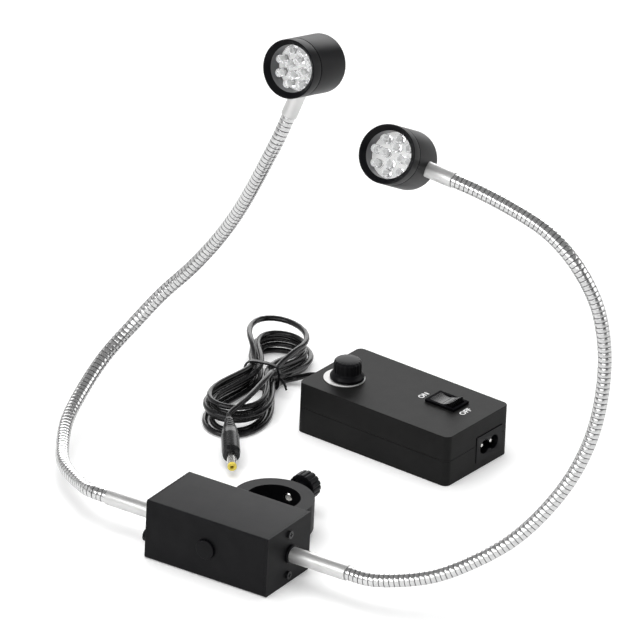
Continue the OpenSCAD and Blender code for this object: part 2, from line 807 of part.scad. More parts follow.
module lamp_lens() color(clear_lens) {
    rod_y(lens_plate_r, lens_plate_y, lens_plate_thick);
    for (k = [0 : lenses_outer - 1])
        rotate([0, 360 * k / lenses_outer, 0]) translate([outer_lens_ring, 0, 0])
            rod_y(lens_d / 2, lens_plate_y - lens_height, lens_height + tiny);
    for (k = [0 : lenses_inner - 1])
        rotate([0, 360 * k / lenses_inner, 0]) translate([inner_lens_ring, 0, 0])
            rod_y(lens_d / 2 - 0.2, lens_plate_y - lens_height, lens_height + tiny);
}

module led_board() color(board_green) rod_y(lens_plate_r, led_plate_y, led_plate_thick);

module left_lamp_ferrule() at_left_lamp() lamp_ferrule();
module left_lamp_barrel() at_left_lamp() lamp_barrel();
module left_lamp_bezel() at_left_lamp() lamp_bezel();
module left_lamp_lens() at_left_lamp() lamp_lens();
module left_led_board() at_left_lamp() led_board();
module right_lamp_ferrule() at_right_lamp() lamp_ferrule();
module right_lamp_barrel() at_right_lamp() lamp_barrel();
module right_lamp_bezel() at_right_lamp() lamp_bezel();
module right_lamp_lens() at_right_lamp() lamp_lens();
module right_led_board() at_right_lamp() led_board();

// Supply
module supply_block(from, to, inset, r)
    translate([0, 0, from])
        linear_extrude(to - from)
            round_rect(supply_len - 2 * inset, supply_width - 2 * inset, r);

module supply_posts(from, to, r)
    for (x = [-1, 1], y = [-1, 1])
        translate([x * post_x, y * post_y, from]) cylinder(r = r, h = to - from);

module inlet_cut()
    translate([supply_len / 2 - inlet_deep, inlet_y - inlet_w / 2 - seat_clear, inlet_z - inlet_h / 2 - seat_clear])
        cube([inlet_deep + 1, inlet_w + 2 * seat_clear, inlet_h + 2 * seat_clear]);

module relief_cut()
    translate([0, lead_y, lead_z]) rod_x(relief_r + run_clear, -supply_len / 2 - 1, supply_wall + 2);

module supply_top() color(grey_plastic) at_supply()
    difference() {
        union() {
            difference() {
                supply_block(seam_z, supply_height, 0, supply_edge_r);
                supply_block(seam_z - tiny, supply_height - supply_wall, supply_wall, supply_in_r);
            }
            supply_posts(seam_z, supply_height - supply_wall + tiny, post_r2);
        }
        supply_posts(seam_z - tiny, seam_z + screw_shank_len, screw_pilot_r);
        translate([knob_x, knob_y, 0]) cylinder(r = bush_r + run_clear, h = supply_height + 1);
        translate([switch_x, switch_y, supply_height - supply_wall / 2])
            cube([
                switch_len - 2 * frame_body_gap + 2 * seat_clear,
                switch_width - 2 * frame_body_gap + 2 * seat_clear,
                supply_wall + 1
            ], center = true);
        inlet_cut();
        relief_cut();
    }

module supply_bottom() color(black_plastic) at_supply()
    difference() {
        union() {
            difference() {
                supply_block(0, seam_z, 0, supply_edge_r);
                supply_block(supply_wall, seam_z + tiny, supply_wall, supply_in_r);
            }
            supply_posts(supply_wall - tiny, seam_z, post_r2);
            for (s = [-1, 1])
                translate([sboard_x, s * (sboard_w / 2 - sboard_rail_w), supply_wall + sboard_rail_h / 2])
                    cube([sboard_len, sboard_rail_w, sboard_rail_h + tiny], center = true);
        }
        supply_posts(-tiny, seam_z + tiny, screw_through_r);
        supply_posts(-tiny, seam_z - post_grip, screw_head_r + seat_clear);
        inlet_cut();
        relief_cut();
    }

module dial_plate() color(dial_white) at_supply()
    translate([knob_x, knob_y, supply_height])
        difference() {
            translate([-dial_shift, 0, 0]) cylinder(r = dial_d / 2, h = dial_thick);
            translate([0, 0, -tiny]) cylinder(r = bush_r + seat_clear, h = dial_thick + 2 * tiny);
        }

module dimmer_knob() color(black_plastic) at_supply()
    translate([knob_x, knob_y, knob_bottom])
        difference() {
            union() {
                cylinder(r = knob_skirt_d / 2, h = 1.5);
                translate([0, 0, 1.5])
                    cylinder(r1 = knob_skirt_d / 2, r2 = knob_cap_d / 2, h = knob_skirt_h - 1.5);
                cylinder(r = knob_cap_d / 2, h = knob_height);
            }
            for (k = [0 : knob_flutes - 1])
                rotate([0, 0, 360 * k / knob_flutes])
                    translate([knob_cap_d / 2 + 0.2, 0, knob_skirt_h])
                        cylinder(r = flute_r, h = knob_height);
            translate([0, 0, -tiny]) cylinder(r = bush_r + knob_bush_gap, h = bush_proud + 0.4);
            translate([0, 0, -tiny])
                cylinder(r = shaft_r + run_clear / 2, h = knob_height - knob_top_wall);
            translate([knob_cap_d / 4, 0, knob_height])
                cube([knob_cap_d / 2 - 2, 1.2, 0.8], center = true);
        }

module dimmer_shaft() color(bright_metal) at_supply()
    translate([knob_x, knob_y, supply_height - supply_wall - shaft_dip])
        cylinder(r = shaft_r, h = knob_bottom + knob_height - knob_top_wall - 0.2
            - supply_height + supply_wall + shaft_dip);

module potentiometer() color(bright_metal) at_supply()
    translate([knob_x, knob_y, supply_height - supply_wall])
        difference() {
            union() {
                translate([0, 0, -pot_h]) cylinder(r = pot_r, h = pot_h);
                cylinder(r = bush_r, h = supply_wall + bush_proud);
            }
            translate([0, 0, -shaft_dip - run_clear])
                cylinder(r = shaft_r + run_clear, h = supply_wall + bush_proud + shaft_dip + 1);
        }

module switch_frame() color(black_plastic) at_supply()
    translate([switch_x, switch_y, supply_height]) {
        len = switch_len - 2 * frame_body_gap;
        width = switch_width - 2 * frame_body_gap;
        difference() {
            union() {
                translate([0, 0, frame_flange / 2]) cube([switch_len, switch_width, frame_flange], center = true);
                translate([0, 0, -frame_body_h / 2]) cube([len, width, frame_body_h + tiny], center = true);
            }
            translate([0, 0, frame_wall])
                cube([len - 2 * frame_wall, width - 2 * frame_wall, 2 * frame_body_h - 2 * frame_wall], center = true);
            translate([0, 0, rocker_z - supply_height]) rod_y(rocker_pin_r + run_clear, -width / 2 - 1, width + 2);
        }
    }

module switch_rocker() color(black_plastic) at_supply()
    translate([switch_x, switch_y, rocker_z])
        rotate([0, -rocker_tilt, 0]) {
            width = switch_width - 2 * frame_body_gap - 2 * frame_wall;
            rise = rocker_half * tan(rocker_tilt) + rocker_horn;
            hollow = [for (k = [rocker_steps : -1 : -rocker_steps])
                [rocker_half * k / rocker_steps, rocker_crown + rise * (k / rocker_steps) ^ 2]];
            translate([0, width / 2 - rocker_clear, 0])
                rotate([90, 0, 0])
                    linear_extrude(width - 2 * rocker_clear)
                        polygon(concat(
                            [[-rocker_half + 1, -rocker_deep], [rocker_half - 1, -rocker_deep]], hollow
                        ));
            rod_y(rocker_pin_r, -width / 2 - frame_wall + 0.1, width + 2 * frame_wall - 0.2);
        }

module inlet_socket() color(black_plastic) at_supply()
    translate([supply_len / 2, inlet_y, inlet_z])
        difference() {
            translate([-inlet_deep + seat_clear, -inlet_w / 2, -inlet_h / 2])
                cube([inlet_deep - seat_clear + inlet_proud, inlet_w, inlet_h]);
            translate([inlet_proud - inlet_recess, 0, 0])
                rotate([90, 0, 90])
                    linear_extrude(inlet_recess + 1) {
                        for (s = [-1, 1])
                            translate([s * inlet_pin_spacing / 2, 0]) circle(inlet_lobe_r);
                        square([inlet_pin_spacing, inlet_web], center = true);
                    }
            for (s = [-1, 1])
                translate([0, s * inlet_pin_spacing / 2, 0])
                    rod_x(pin_r + run_clear, -inlet_deep, inlet_deep);
        }

module inlet_pins() color(bright_metal) at_supply()
    for (s = [-1, 1])
        translate([supply_len / 2, inlet_y + s * inlet_pin_spacing / 2, inlet_z])
            rod_x(pin_r, inlet_proud - inlet_recess - 3, 3 + pin_len);

module supply_board() color(board_green) at_supply()
    translate([sboard_x, 0, supply_wall + sboard_rail_h]) {
        translate([0, 0, board_thick / 2]) cube([sboard_len, sboard_w, board_thick], center = true);
        translate([0, transformer_y, board_thick + transformer.z / 2 - tiny]) cube(transformer, center = true);
        translate([-sboard_len / 2 + supply_can_inset, supply_can_y, board_thick - tiny])
            cylinder(r = supply_can_r, h = supply_can_h);
    }

module strain_relief() color(black_plastic) at_supply() translate([0, lead_y, lead_z]) {
    wall_x = -supply_len / 2;
    rod_x(relief_flange_r, wall_x + supply_wall, relief_flange);
    rod_x(relief_r, wall_x - 1, supply_wall + 1 + tiny);
    translate([wall_x - relief_len, 0, 0])
        rotate([0, 90, 0]) cylinder(r1 = relief_end_r, r2 = relief_r, h = relief_len - 1 + tiny);
}

// Hank: in its own frame the runs lie along Y, pinched at the waist on X = 0.
// The innermost loop is a closed curve; each turn lies a step further out along the curve's own
// normal, and the layers are wound in and out in turn, with each climb along a run. Each half turn
// then leans aside and reaches out by its own amount, which fades to nothing at the waist.
function loop_at(a) = [
    (hank_waist + hank_bulge * sin(a) ^ 2) * cos(a), hank_half_len * sin(a) * (1 - hank_round * cos(a) ^ 2)
];
function loop_out(a) = let (d = loop_at(a + 0.5) - loop_at(a - 0.5)) unit([d.y, -d.x]);
function hank_layer(turn) = min(floor(turn / turns_a_layer + tiny / 100), hank_layers - 1);
function hank_spread(turn) =
    let (m = hank_layer(turn), t = turn - m * turns_a_layer)
    hank_step * (m % 2 == 0 ? turns_a_layer - t : t);
function hank_climb(turn) = [for (m = [1 : hank_layers - 1])
    smooth(max(0, min(1, (turn - m * turns_a_layer) / hank_climb_turns + 0.5)))] * [for (m = [1 : hank_layers - 1]) 1];
function hank_point(turn) =
    let (
        a = -360 * turn,
        flat = loop_at(a) + loop_out(a) * hank_spread(turn),
        lift = hank_lift * cos(a) ^ 4,
        arc = min(floor(turn * 2 + tiny / 100), 2 * hank_loops - 1),
        out = flat.y / hank_half_len,
        rise = arc < 2 * hank_loops - 1 ? 0 : last_arc_rise * smooth(min(1, out / last_arc_start))
    )
    [
        flat.x + arc_lean[arc] * out ^ 2, flat.y + sign(out) * arc_reach[arc] * out ^ 2,
        lead_r + lift + rise + hank_step * hank_climb(turn)
    ];
hank_path = [for (i = [0 : hank_loops * hank_rings]) hank_point(i / hank_rings)];
hank_down = [0, -1, 0];

hank_far = hank_rings / 3;
hank_gap = min([for (i = [0 : len(hank_path) - 1]) for (k = [i + hank_far : 1 : len(hank_path) - 1])
    norm(hank_path[i] - hank_path[k])]) - lead_d;
echo("least gap between the hank's turns, mm", hank_gap);
hank_lengths = lengths(hank_path);
echo("length of lead in the hank, mm", hank_lengths[len(hank_lengths) - 1]);

module at_hank() at_supply() translate(hank_place) rotate([0, 0, hank_turn]) children();
module lead_hank() color(black_plastic) at_hank()
    tube(hank_path, hank_down, hank_down, lead_r, 6, [0, 0, 1]);

module hank_tie() color(black_plastic) at_hank()
    translate([0, tie_w / 2, tie_thick + tie_in_h / 2])
        rotate([90, 0, 0])
            linear_extrude(tie_w)
                difference() {
                    round_rect(2 * (tie_in_w + tie_thick), tie_in_h + 2 * tie_thick, 3);
                    round_rect(2 * tie_in_w, tie_in_h, 2);
                }

// Turns a point of the hank's frame into the supply's frame
function from_hank(p) = hank_place + turn_z(p, hank_turn);
hank_start = from_hank(hank_path[0]);
hank_stop = from_hank(hank_path[len(hank_path) - 1]);
hank_heading = turn_z(hank_down, hank_turn);
lead_straight = lead_d;

// Lead from the strain relief down to the hank's waist
supply_lead_route = [[-76, 16.2, 11.6], [-83.5, 18.8, 7.8], [-90.8, 17, 4.2], [-94.6, 12, 3.3]];
module supply_lead() color(black_plastic) at_supply() {
    out = [-1, 0, 0];
    bent = concat(
        [relief_end + out * lead_straight], supply_lead_route, [hank_start - hank_heading * lead_straight]
    );
    path = concat([relief_end], curve(bent, out, hank_heading, 3), [hank_start]);
    tube(path, out, hank_heading, lead_r, 8, [0, 0, 1]);
}

// Lead from the hank's top over the front lobe to the plug, with its points in the hank's frame
plug_heading = turn_z(tip_up([0, -1, 0], -plug_dip), plug_yaw);
plug_lead_route = [
    [9.2, -8.5, 17.8], [9.9, -14.5, 19.4], [10.2, -24, 19.7], [9.4, -36, 19], [8.4, -47, 18.5], [7, -57, 17.8]
];
module plug_lead() color(black_plastic) at_supply() {
    bent = concat(
        [hank_stop + hank_heading * lead_straight],
        [for (p = plug_lead_route) from_hank(p)],
        [plug_place - plug_heading * lead_straight]
    );
    path = concat([hank_stop], curve(bent, hank_heading, plug_heading, 2), [plug_place]);
    tube(path, hank_heading, plug_heading, lead_r, 8, [0, 0, 1]);
}

// Plug: in its own frame it points along -Y, with its rear end at the origin
module at_plug() at_supply() translate(plug_place) rotate([plug_dip, 0, plug_yaw]) children();
module plug_grip() color(black_plastic) at_plug()
    rotate([90, 0, 0])
        difference() {
            union() {
                cylinder(r1 = grip_end_r, r2 = grip_d / 2 - 0.8, h = grip_taper);
                translate([0, 0, grip_taper - tiny]) cylinder(r1 = grip_d / 2 - 0.8, r2 = grip_d / 2, h = 6);
                translate([0, 0, grip_taper + 6 - 2 * tiny])
                    cylinder(r = grip_d / 2, h = grip_len - grip_taper - 6 + 2 * tiny);
            }
            for (k = [0 : grip_grooves - 1])
                translate([0, 0, 2.5 + 2.4 * k])
                    difference() {
                        cylinder(r = grip_d, h = 1.1);
                        translate([0, 0, -tiny]) cylinder(r = grip_end_r - 0.3 + 0.3 * k, h = 1.1 + 2 * tiny);
                    }
        }

module plug_barrel() color(bright_metal) at_plug()
    rotate([90, 0, 0])
        translate([0, 0, grip_len])
            difference() {
                cylinder(r = plug_barrel_d / 2, h = plug_barrel_len - tip_len);
                translate([0, 0, -tiny]) cylinder(r = tip_bore_r, h = plug_barrel_len);
            }

module plug_tip() color(tip_yellow) at_plug()
    rotate([90, 0, 0])
        translate([0, 0, grip_len + plug_barrel_len - tip_len])
            difference() {
                cylinder(r = plug_barrel_d / 2, h = tip_len);
                translate([0, 0, -tiny]) cylinder(r = tip_bore_r, h = tip_len + 2 * tiny);
            }

housing_shell();
left_end_plate();
right_end_plate();
case_screws();
push_button();
push_switch();
dc_jack();
blanking_plug();
driver_board();
clamp_ring();
clamp_bolts();
thumbscrew_knob();
thumbscrew_rod();
screw_pad();
ferrule_collars();
ferrule_nuts();
left_base_ferrule();
left_neck_base_bend();
left_neck_lower();
left_neck_middle_bend();
left_neck_upper();
left_neck_head_bend();
left_lamp_ferrule();
left_lamp_barrel();
left_lamp_bezel();
left_lamp_lens();
left_led_board();
right_base_ferrule();
right_neck_base_bend();
right_neck_lower();
right_neck_middle_bend();
right_neck_upper();
right_neck_head_bend();
right_lamp_ferrule();
right_lamp_barrel();
right_lamp_bezel();
right_lamp_lens();
right_led_board();
supply_top();
supply_bottom();
dial_plate();
dimmer_knob();
dimmer_shaft();
potentiometer();
switch_frame();
switch_rocker();
inlet_socket();
inlet_pins();
supply_board();
strain_relief();
supply_lead();
lead_hank();
hank_tie();
plug_lead();
plug_grip();
plug_barrel();
plug_tip();
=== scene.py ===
import math

import bmesh
import bpy
from mathutils import Matrix, Vector


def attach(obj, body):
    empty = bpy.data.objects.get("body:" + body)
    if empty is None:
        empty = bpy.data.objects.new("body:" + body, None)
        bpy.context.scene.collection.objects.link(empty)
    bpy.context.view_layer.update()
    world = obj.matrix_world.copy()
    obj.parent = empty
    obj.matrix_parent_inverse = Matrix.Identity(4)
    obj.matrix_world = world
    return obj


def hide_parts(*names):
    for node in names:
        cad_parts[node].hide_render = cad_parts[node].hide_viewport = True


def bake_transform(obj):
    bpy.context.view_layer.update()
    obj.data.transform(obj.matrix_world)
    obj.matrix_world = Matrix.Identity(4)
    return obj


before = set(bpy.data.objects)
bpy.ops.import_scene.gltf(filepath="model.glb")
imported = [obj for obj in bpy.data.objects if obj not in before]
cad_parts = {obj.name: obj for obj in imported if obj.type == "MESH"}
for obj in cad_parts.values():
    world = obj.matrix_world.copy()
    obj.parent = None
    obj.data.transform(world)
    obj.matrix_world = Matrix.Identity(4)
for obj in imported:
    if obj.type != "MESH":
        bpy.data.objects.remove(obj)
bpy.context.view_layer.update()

mm = 0.001  # sizes below are in millimetres, Blender works in metres
scene = bpy.context.scene
print("frame loaded:", len(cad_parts), "nodes")


# camera

photoCamera = {
    "aim": (6.8, 80.2, 127.8),  # what the middle of the photo looks at
    "right": (0.8399, 0.5413, 0.0408),
    "up": (-0.2757, 0.3606, 0.8911),
    "distance": 12374,
    "lens": 1200,
}


def makeCamera(look):
    right = Vector(look["right"]).normalized()
    up = Vector(look["up"]).normalized()
    back = right.cross(up)
    data = bpy.data.cameras.new("photoCamera")
    data.lens = look["lens"]
    data.sensor_width = 36
    data.clip_start = 0.5
    data.clip_end = 100
    camera = bpy.data.objects.new("photoCamera", data)
    place = (Vector(look["aim"]) + back * look["distance"]) * mm
    turn = Matrix((right, up, back)).transposed()
    camera.matrix_world = Matrix.Translation(place) @ turn.to_4x4()
    scene.collection.objects.link(camera)
    scene.camera = camera


makeCamera(photoCamera)
print("camera set")


# routes and curves

def hermite(points, first, last, steps):
    # smooth curve through the points, the same one that the hoses and leads follow in the frame
    points = [Vector(p) for p in points]
    slopes = []
    for i, point in enumerate(points):
        if i == 0:
            slopes.append(Vector(first) * (points[1] - point).length)
        elif i == len(points) - 1:
            slopes.append(Vector(last) * (point - points[i - 1]).length)
        else:
            slopes.append((points[i + 1] - points[i - 1]) / 2)
    line = []
    for i in range(len(points) - 1):
        for k in range(steps):
            t = k / steps
            line.append(
                (2 * t**3 - 3 * t**2 + 1) * points[i] + (t**3 - 2 * t**2 + t) * slopes[i]
                + (3 * t**2 - 2 * t**3) * points[i + 1] + (t**3 - t**2) * slopes[i + 1]
            )
    return line + [points[-1]]


def lineLength(line):
    return sum((b - a).length for a, b in zip(line, line[1:]))


def evenPoints(line, count):
    # points at equal steps along a line
    marks = [0.0]
    for a, b in zip(line, line[1:]):
        marks.append(marks[-1] + (b - a).length)
    out = []
    i = 0
    for k in range(count + 1):
        want = marks[-1] * k / count
        while i < len(marks) - 2 and marks[i + 1] < want:
            i += 1
        share = (want - marks[i]) / max(marks[i + 1] - marks[i], 1e-9)
        out.append(line[i].lerp(line[i + 1], share))
    return out


def turnZ(degrees):
    return Matrix.Rotation(math.radians(degrees), 4, "Z")


def turnX(degrees):
    return Matrix.Rotation(math.radians(degrees), 4, "X")


def turnY(degrees):
    return Matrix.Rotation(math.radians(degrees), 4, "Y")


def shift(x, y, z):
    return Matrix.Translation((x, y, z))


# materials

def surface(name, look):
    # one procedural finish: mottled colour, uneven gloss and a fine grain
    material = bpy.data.materials.new(name)
    material.use_nodes = True
    nodes = material.node_tree.nodes
    links = material.node_tree.links
    shader = nodes["Principled BSDF"]
    shader.inputs["Metallic"].default_value = look.get("metal", 0)
    shader.inputs["IOR"].default_value = look.get("ior", 1.5)
    shader.inputs["Transmission Weight"].default_value = look.get("clear", 0)
    shader.inputs["Specular IOR Level"].default_value = look.get("specular", 0.5)
    shader.inputs["Emission Color"].default_value = (1, 1, 1, 1)
    shader.inputs["Emission Strength"].default_value = look.get("glow", 0)

    coords = nodes.new("ShaderNodeTexCoord")
    stretch = nodes.new("ShaderNodeMapping")
    stretch.inputs["Scale"].default_value = look.get("stretch", (1, 1, 1))
    links.new(coords.outputs["Object"], stretch.inputs["Vector"])

    mottle = nodes.new("ShaderNodeTexNoise")
    mottle.inputs["Scale"].default_value = look.get("mottleScale", 90)
    mottle.inputs["Detail"].default_value = 5
    links.new(coords.outputs["Object"], mottle.inputs["Vector"])
    ramp = nodes.new("ShaderNodeValToRGB")
    dark, pale = look["colours"]
    ramp.color_ramp.elements[0].position = 0.3
    ramp.color_ramp.elements[1].position = 0.7
    ramp.color_ramp.elements[0].color = (*dark, 1)
    ramp.color_ramp.elements[1].color = (*pale, 1)
    links.new(mottle.outputs["Fac"], ramp.inputs["Fac"])
    links.new(ramp.outputs["Color"], shader.inputs["Base Color"])

    grain = nodes.new("ShaderNodeTexNoise")
    grain.inputs["Scale"].default_value = look.get("grainScale", 2500)
    grain.inputs["Detail"].default_value = 3
    links.new(stretch.outputs["Vector"], grain.inputs["Vector"])
    gloss = nodes.new("ShaderNodeMapRange")
    low, high = look["rough"]
    gloss.inputs["To Min"].default_value = low
    gloss.inputs["To Max"].default_value = high
    links.new(grain.outputs["Fac"], gloss.inputs["Value"])
    links.new(gloss.outputs["Result"], shader.inputs["Roughness"])
    bump = nodes.new("ShaderNodeBump")
    bump.inputs["Strength"].default_value = look.get("grainStrength", 0.15)
    bump.inputs["Distance"].default_value = look.get("grainDepth", 0.05) * mm
    links.new(grain.outputs["Fac"], bump.inputs["Height"])
    links.new(bump.outputs["Normal"], shader.inputs["Normal"])
    return material


finishes = {
    "housingPaint": {
        "colours": ((0.005, 0.005, 0.006), (0.008, 0.008, 0.009)), "rough": (0.42, 0.54), "specular": 0.1,
        "grainScale": 3200, "grainStrength": 0.3, "grainDepth": 0.04,
    },
    "lampAnodised": {
        "colours": ((0.003, 0.003, 0.004), (0.005, 0.005, 0.006)), "rough": (0.34, 0.46), "specular": 0.12,
        "grainScale": 4200, "grainStrength": 0.2, "grainDepth": 0.03,
    },
    "hoodSatin": {
        "colours": ((0.10, 0.10, 0.105), (0.14, 0.14, 0.145)), "rough": (0.25, 0.36), "specular": 0.5,
        "grainScale": 2200, "grainStrength": 0.15, "grainDepth": 0.03,
    },
    "supplyPlastic": {
        "colours": ((0.006, 0.006, 0.006), (0.009, 0.009, 0.009)), "rough": (0.46, 0.58), "specular": 0.11,
        "grainScale": 2600, "grainStrength": 0.45, "grainDepth": 0.05,
    },
    "blackPlastic": {
        "colours": ((0.003, 0.003, 0.004), (0.005, 0.005, 0.006)), "rough": (0.32, 0.44), "specular": 0.1,
        "grainScale": 2800, "grainStrength": 0.2, "grainDepth": 0.04,
    },
    "glossPlastic": {
        "colours": ((0.005, 0.005, 0.006), (0.008, 0.008, 0.009)), "rough": (0.22, 0.32), "specular": 0.2,
        "grainScale": 1500, "grainStrength": 0.08, "grainDepth": 0.03,
    },
    # a darker, duller black: the switch frame's matte finish, and painted shade on the clamp ring's bore wall
    "dullBlackAndBoreShade": {
        "colours": ((0.002, 0.002, 0.003), (0.004, 0.004, 0.005)), "rough": (0.75, 0.85), "specular": 0.03,
        "grainScale": 2400, "grainStrength": 0.2, "grainDepth": 0.03,
    },
    "innerPlastic": {
        "colours": ((0.05, 0.05, 0.055), (0.07, 0.07, 0.075)), "rough": (0.45, 0.6),
        "grainScale": 2000, "grainStrength": 0.2,
    },
    "screwBlack": {
        "colours": ((0.018, 0.018, 0.019), (0.028, 0.028, 0.030)), "rough": (0.25, 0.4), "metal": 0.6,
        "grainScale": 3500, "grainStrength": 0.2,
    },
    "neckChrome": {
        "colours": ((0.60, 0.60, 0.60), (0.68, 0.68, 0.68)), "rough": (0.2, 0.28), "metal": 0.9,
        "mottleScale": 300, "grainScale": 1800, "grainStrength": 0.1, "grainDepth": 0.02,
    },
    # darker grey for the faces in the grooves between the neck's ribs: painted shade in the grooves
    "neckGrooveShade": {
        "colours": ((0.10, 0.10, 0.10), (0.16, 0.16, 0.16)), "rough": (0.4, 0.5), "metal": 0.6,
        "mottleScale": 300, "grainScale": 1800, "grainStrength": 0.1, "grainDepth": 0.02,
    },
    "ferruleSteel": {
        "colours": ((0.62, 0.62, 0.615), (0.70, 0.70, 0.695)), "rough": (0.40, 0.52), "metal": 0.85,
        "mottleScale": 120, "grainScale": 1400, "grainStrength": 0.12, "grainDepth": 0.02,
        "stretch": (0.05, 1, 1),
    },
    "nickel": {
        "colours": ((0.60, 0.59, 0.57), (0.70, 0.69, 0.67)), "rough": (0.2, 0.32), "metal": 1,
        "grainScale": 1600, "grainStrength": 0.15,
    },
    "boardGreen": {
        "colours": ((0.015, 0.09, 0.035), (0.025, 0.13, 0.05)), "rough": (0.3, 0.42),
        "mottleScale": 400, "grainScale": 900, "grainStrength": 0.2,
    },
    # white carrier with a faint glow: the glow is painted light, the LEDs are not lit
    "ledBoardWhiteGlow": {
        "colours": ((0.76, 0.76, 0.75), (0.84, 0.84, 0.83)), "rough": (0.35, 0.5), "glow": 0.4,
        "grainScale": 1600, "grainStrength": 0.15,
    },
    "clearLens": {
        "colours": ((0.95, 0.955, 0.96), (0.98, 0.985, 0.99)), "rough": (0.02, 0.05), "clear": 0.97, "ior": 1.45,
        "grainScale": 900, "grainStrength": 0.05, "grainDepth": 0.02,
    },
    # grey cup inside each bulb with a faint glow: the glow is painted light, the LEDs are not lit
    "bulbCoreGlow": {
        "colours": ((0.58, 0.58, 0.58), (0.68, 0.68, 0.68)), "rough": (0.3, 0.4), "metal": 0.2, "glow": 0.12,
        "grainScale": 1500, "grainStrength": 0.1,
    },
    "dialWhite": {
        "colours": ((0.70, 0.70, 0.69), (0.76, 0.76, 0.75)), "rough": (0.38, 0.5),
        "grainScale": 1800, "grainStrength": 0.12,
    },
    "printWhite": {
        "colours": ((0.72, 0.72, 0.72), (0.84, 0.84, 0.84)), "rough": (0.5, 0.62),
        "mottleScale": 900, "grainScale": 3000, "grainStrength": 0.2,
    },
    "tipYellow": {
        "colours": ((0.74, 0.58, 0.05), (0.84, 0.68, 0.09)), "rough": (0.3, 0.42),
        "grainScale": 1600, "grainStrength": 0.15,
    },
    "leadRubber": {
        "colours": ((0.003, 0.003, 0.0035), (0.006, 0.006, 0.0065)), "rough": (0.2, 0.32), "specular": 0.35,
        "mottleScale": 160, "grainScale": 1300, "grainStrength": 0.25, "grainDepth": 0.06,
    },
}
finish = {name: surface(name, look) for name, look in finishes.items()}
print("materials made:", len(finish))


# mesh helpers

def makePiece(name, bm, sharpAngle=35):
    bmesh.ops.recalc_face_normals(bm, faces=bm.faces)
    mesh = bpy.data.meshes.new(name)
    bm.to_mesh(mesh)
    bm.free()
    mesh.shade_smooth()
    mesh.set_sharp_from_angle(angle=math.radians(sharpAngle))
    piece = bpy.data.objects.new(name, mesh)
    scene.collection.objects.link(piece)
    return piece


def dress(piece, look, slotName, body, *nodes):
    piece.data.materials.clear()
    piece.data.materials.append(finish[look])
    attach(piece, body)
    if nodes:
        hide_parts(*nodes)
    return piece


def roundCorners(corners, closed=True, steps=4):
    # corners are (radius, height, fillet); gives the points of the rounded line
    out = []
    for i, (x, y, fillet) in enumerate(corners):
        here = Vector((x, y))
        if fillet <= 0 or (not closed and i in (0, len(corners) - 1)):
            out.append(here)
            continue
        back = Vector(corners[i - 1][:2]) - here
        ahead = Vector(corners[(i + 1) % len(corners)][:2]) - here
        half = (math.pi - back.angle(ahead)) / 2
        reach = min(fillet * math.tan(half), back.length * 0.48, ahead.length * 0.48)
        a = here + back.normalized() * reach
        b = here + ahead.normalized() * reach
        for k in range(steps + 1):
            t = k / steps
            out.append((1 - t) ** 2 * a + 2 * t * (1 - t) * here + t**2 * b)
    return out


def lathe(bm, profile, place, segments=72, closed=True, shape=None):
    # turns a profile of (radius, height) round the Z axis of its place; shape takes away from the radius
    rings = []
    for radius, height in profile:
        if radius < 1e-4:
            rings.append([bm.verts.new((place @ Vector((0, 0, height))) * mm)])
            continue
        ring = []
        for k in range(segments):
            angle = 2 * math.pi * k / segments
            r = radius - (shape(angle, radius, height) if shape else 0)
            ring.append(bm.verts.new((place @ Vector((r * math.cos(angle), r * math.sin(angle), height))) * mm))
        rings.append(ring)
    pairs = list(zip(rings, rings[1:]))
    if closed and len(rings[0]) > 1 and len(rings[-1]) > 1:
        pairs.append((rings[-1], rings[0]))
    for low, high in pairs:
        for k in range(segments):
            n = (k + 1) % segments
            if len(low) == 1 and len(high) == 1:
                break
            if len(low) == 1:
                bm.faces.new((low[0], high[n], high[k]))
            elif len(high) == 1:
                bm.faces.new((low[k], low[n], high[0]))
            else:
                bm.faces.new((low[k], low[n], high[n], high[k]))


def softCopy(node, name, edge, segments=3):
    # the frame's own solid with its edges rounded
    bm = bmesh.new()
    bm.from_mesh(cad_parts[node].data)
    bmesh.ops.remove_doubles(bm, verts=bm.verts, dist=1e-6)
    bmesh.ops.dissolve_limit(bm, angle_limit=math.radians(1), verts=bm.verts, edges=bm.edges)
    piece = makePiece(name, bm)
    bevel = piece.modifiers.new("edges", "BEVEL")
    bevel.width = edge * mm
    bevel.segments = segments
    bevel.limit_method = "ANGLE"
    bevel.angle_limit = math.radians(32)
    bevel.harden_normals = True
    bevel.use_clamp_overlap = True
    return piece


# places on the object

supplyPlace = {"x": -2, "y": 192, "yaw": -4.3, "length": 110, "height": 32}
supplyFrame = shift(supplyPlace["x"], supplyPlace["y"], 0) @ turnZ(supplyPlace["yaw"])
alongX = turnY(90)  # a lathe's axis along X
alongY = turnX(-90)  # a lathe's axis along Y

housing = {"length": 84}
halfTurn = turnZ(180)  # the left end of the housing is the right end turned round


# lead: from the strain relief into the hank, round its loops and on to the plug

lead = {
    "diameter": 3.4,
    "reliefEnd": (-65, 14, 14.5),
    "supplyRoute": [(-76, 16.2, 11.6), (-83.5, 18.8, 7.8), (-90.8, 17, 4.2), (-94.6, 12, 3.3)],  # supply's frame
    "hankPlace": (-102, -2, 0),
    "hankTurn": 16.6,
    "loops": 6,
    "layers": 4,
    "halfLength": 47,
    "bulge": 30,
    "round": 0.2,
    "waist": 2.2,
    "spare": 0.65,
    "climbTurns": 0.2,
    "lean": (0, -2, 0, -3, -2, -3, -2, -4, -2, -3, -2, -8),  # of each half turn, front and rear in turn
    "reach": (12, 0, 12, 2, 5, 2, 6, 0, 6, 0, 4, 3),
    "lastRise": 5,
    "lastStart": 0.5,
    "tieLift": 1.55,
    "plugRoute": [  # hank's frame
        (9.2, -8.5, 17.8), (9.9, -14.5, 19.4), (10.2, -24, 19.7), (9.4, -36, 19), (8.4, -47, 18.5), (7, -57, 17.8)
    ],
    "plugPlace": (-76, -68.5, 14.5),
    "plugYaw": 40,
    "plugDip": 10,
}
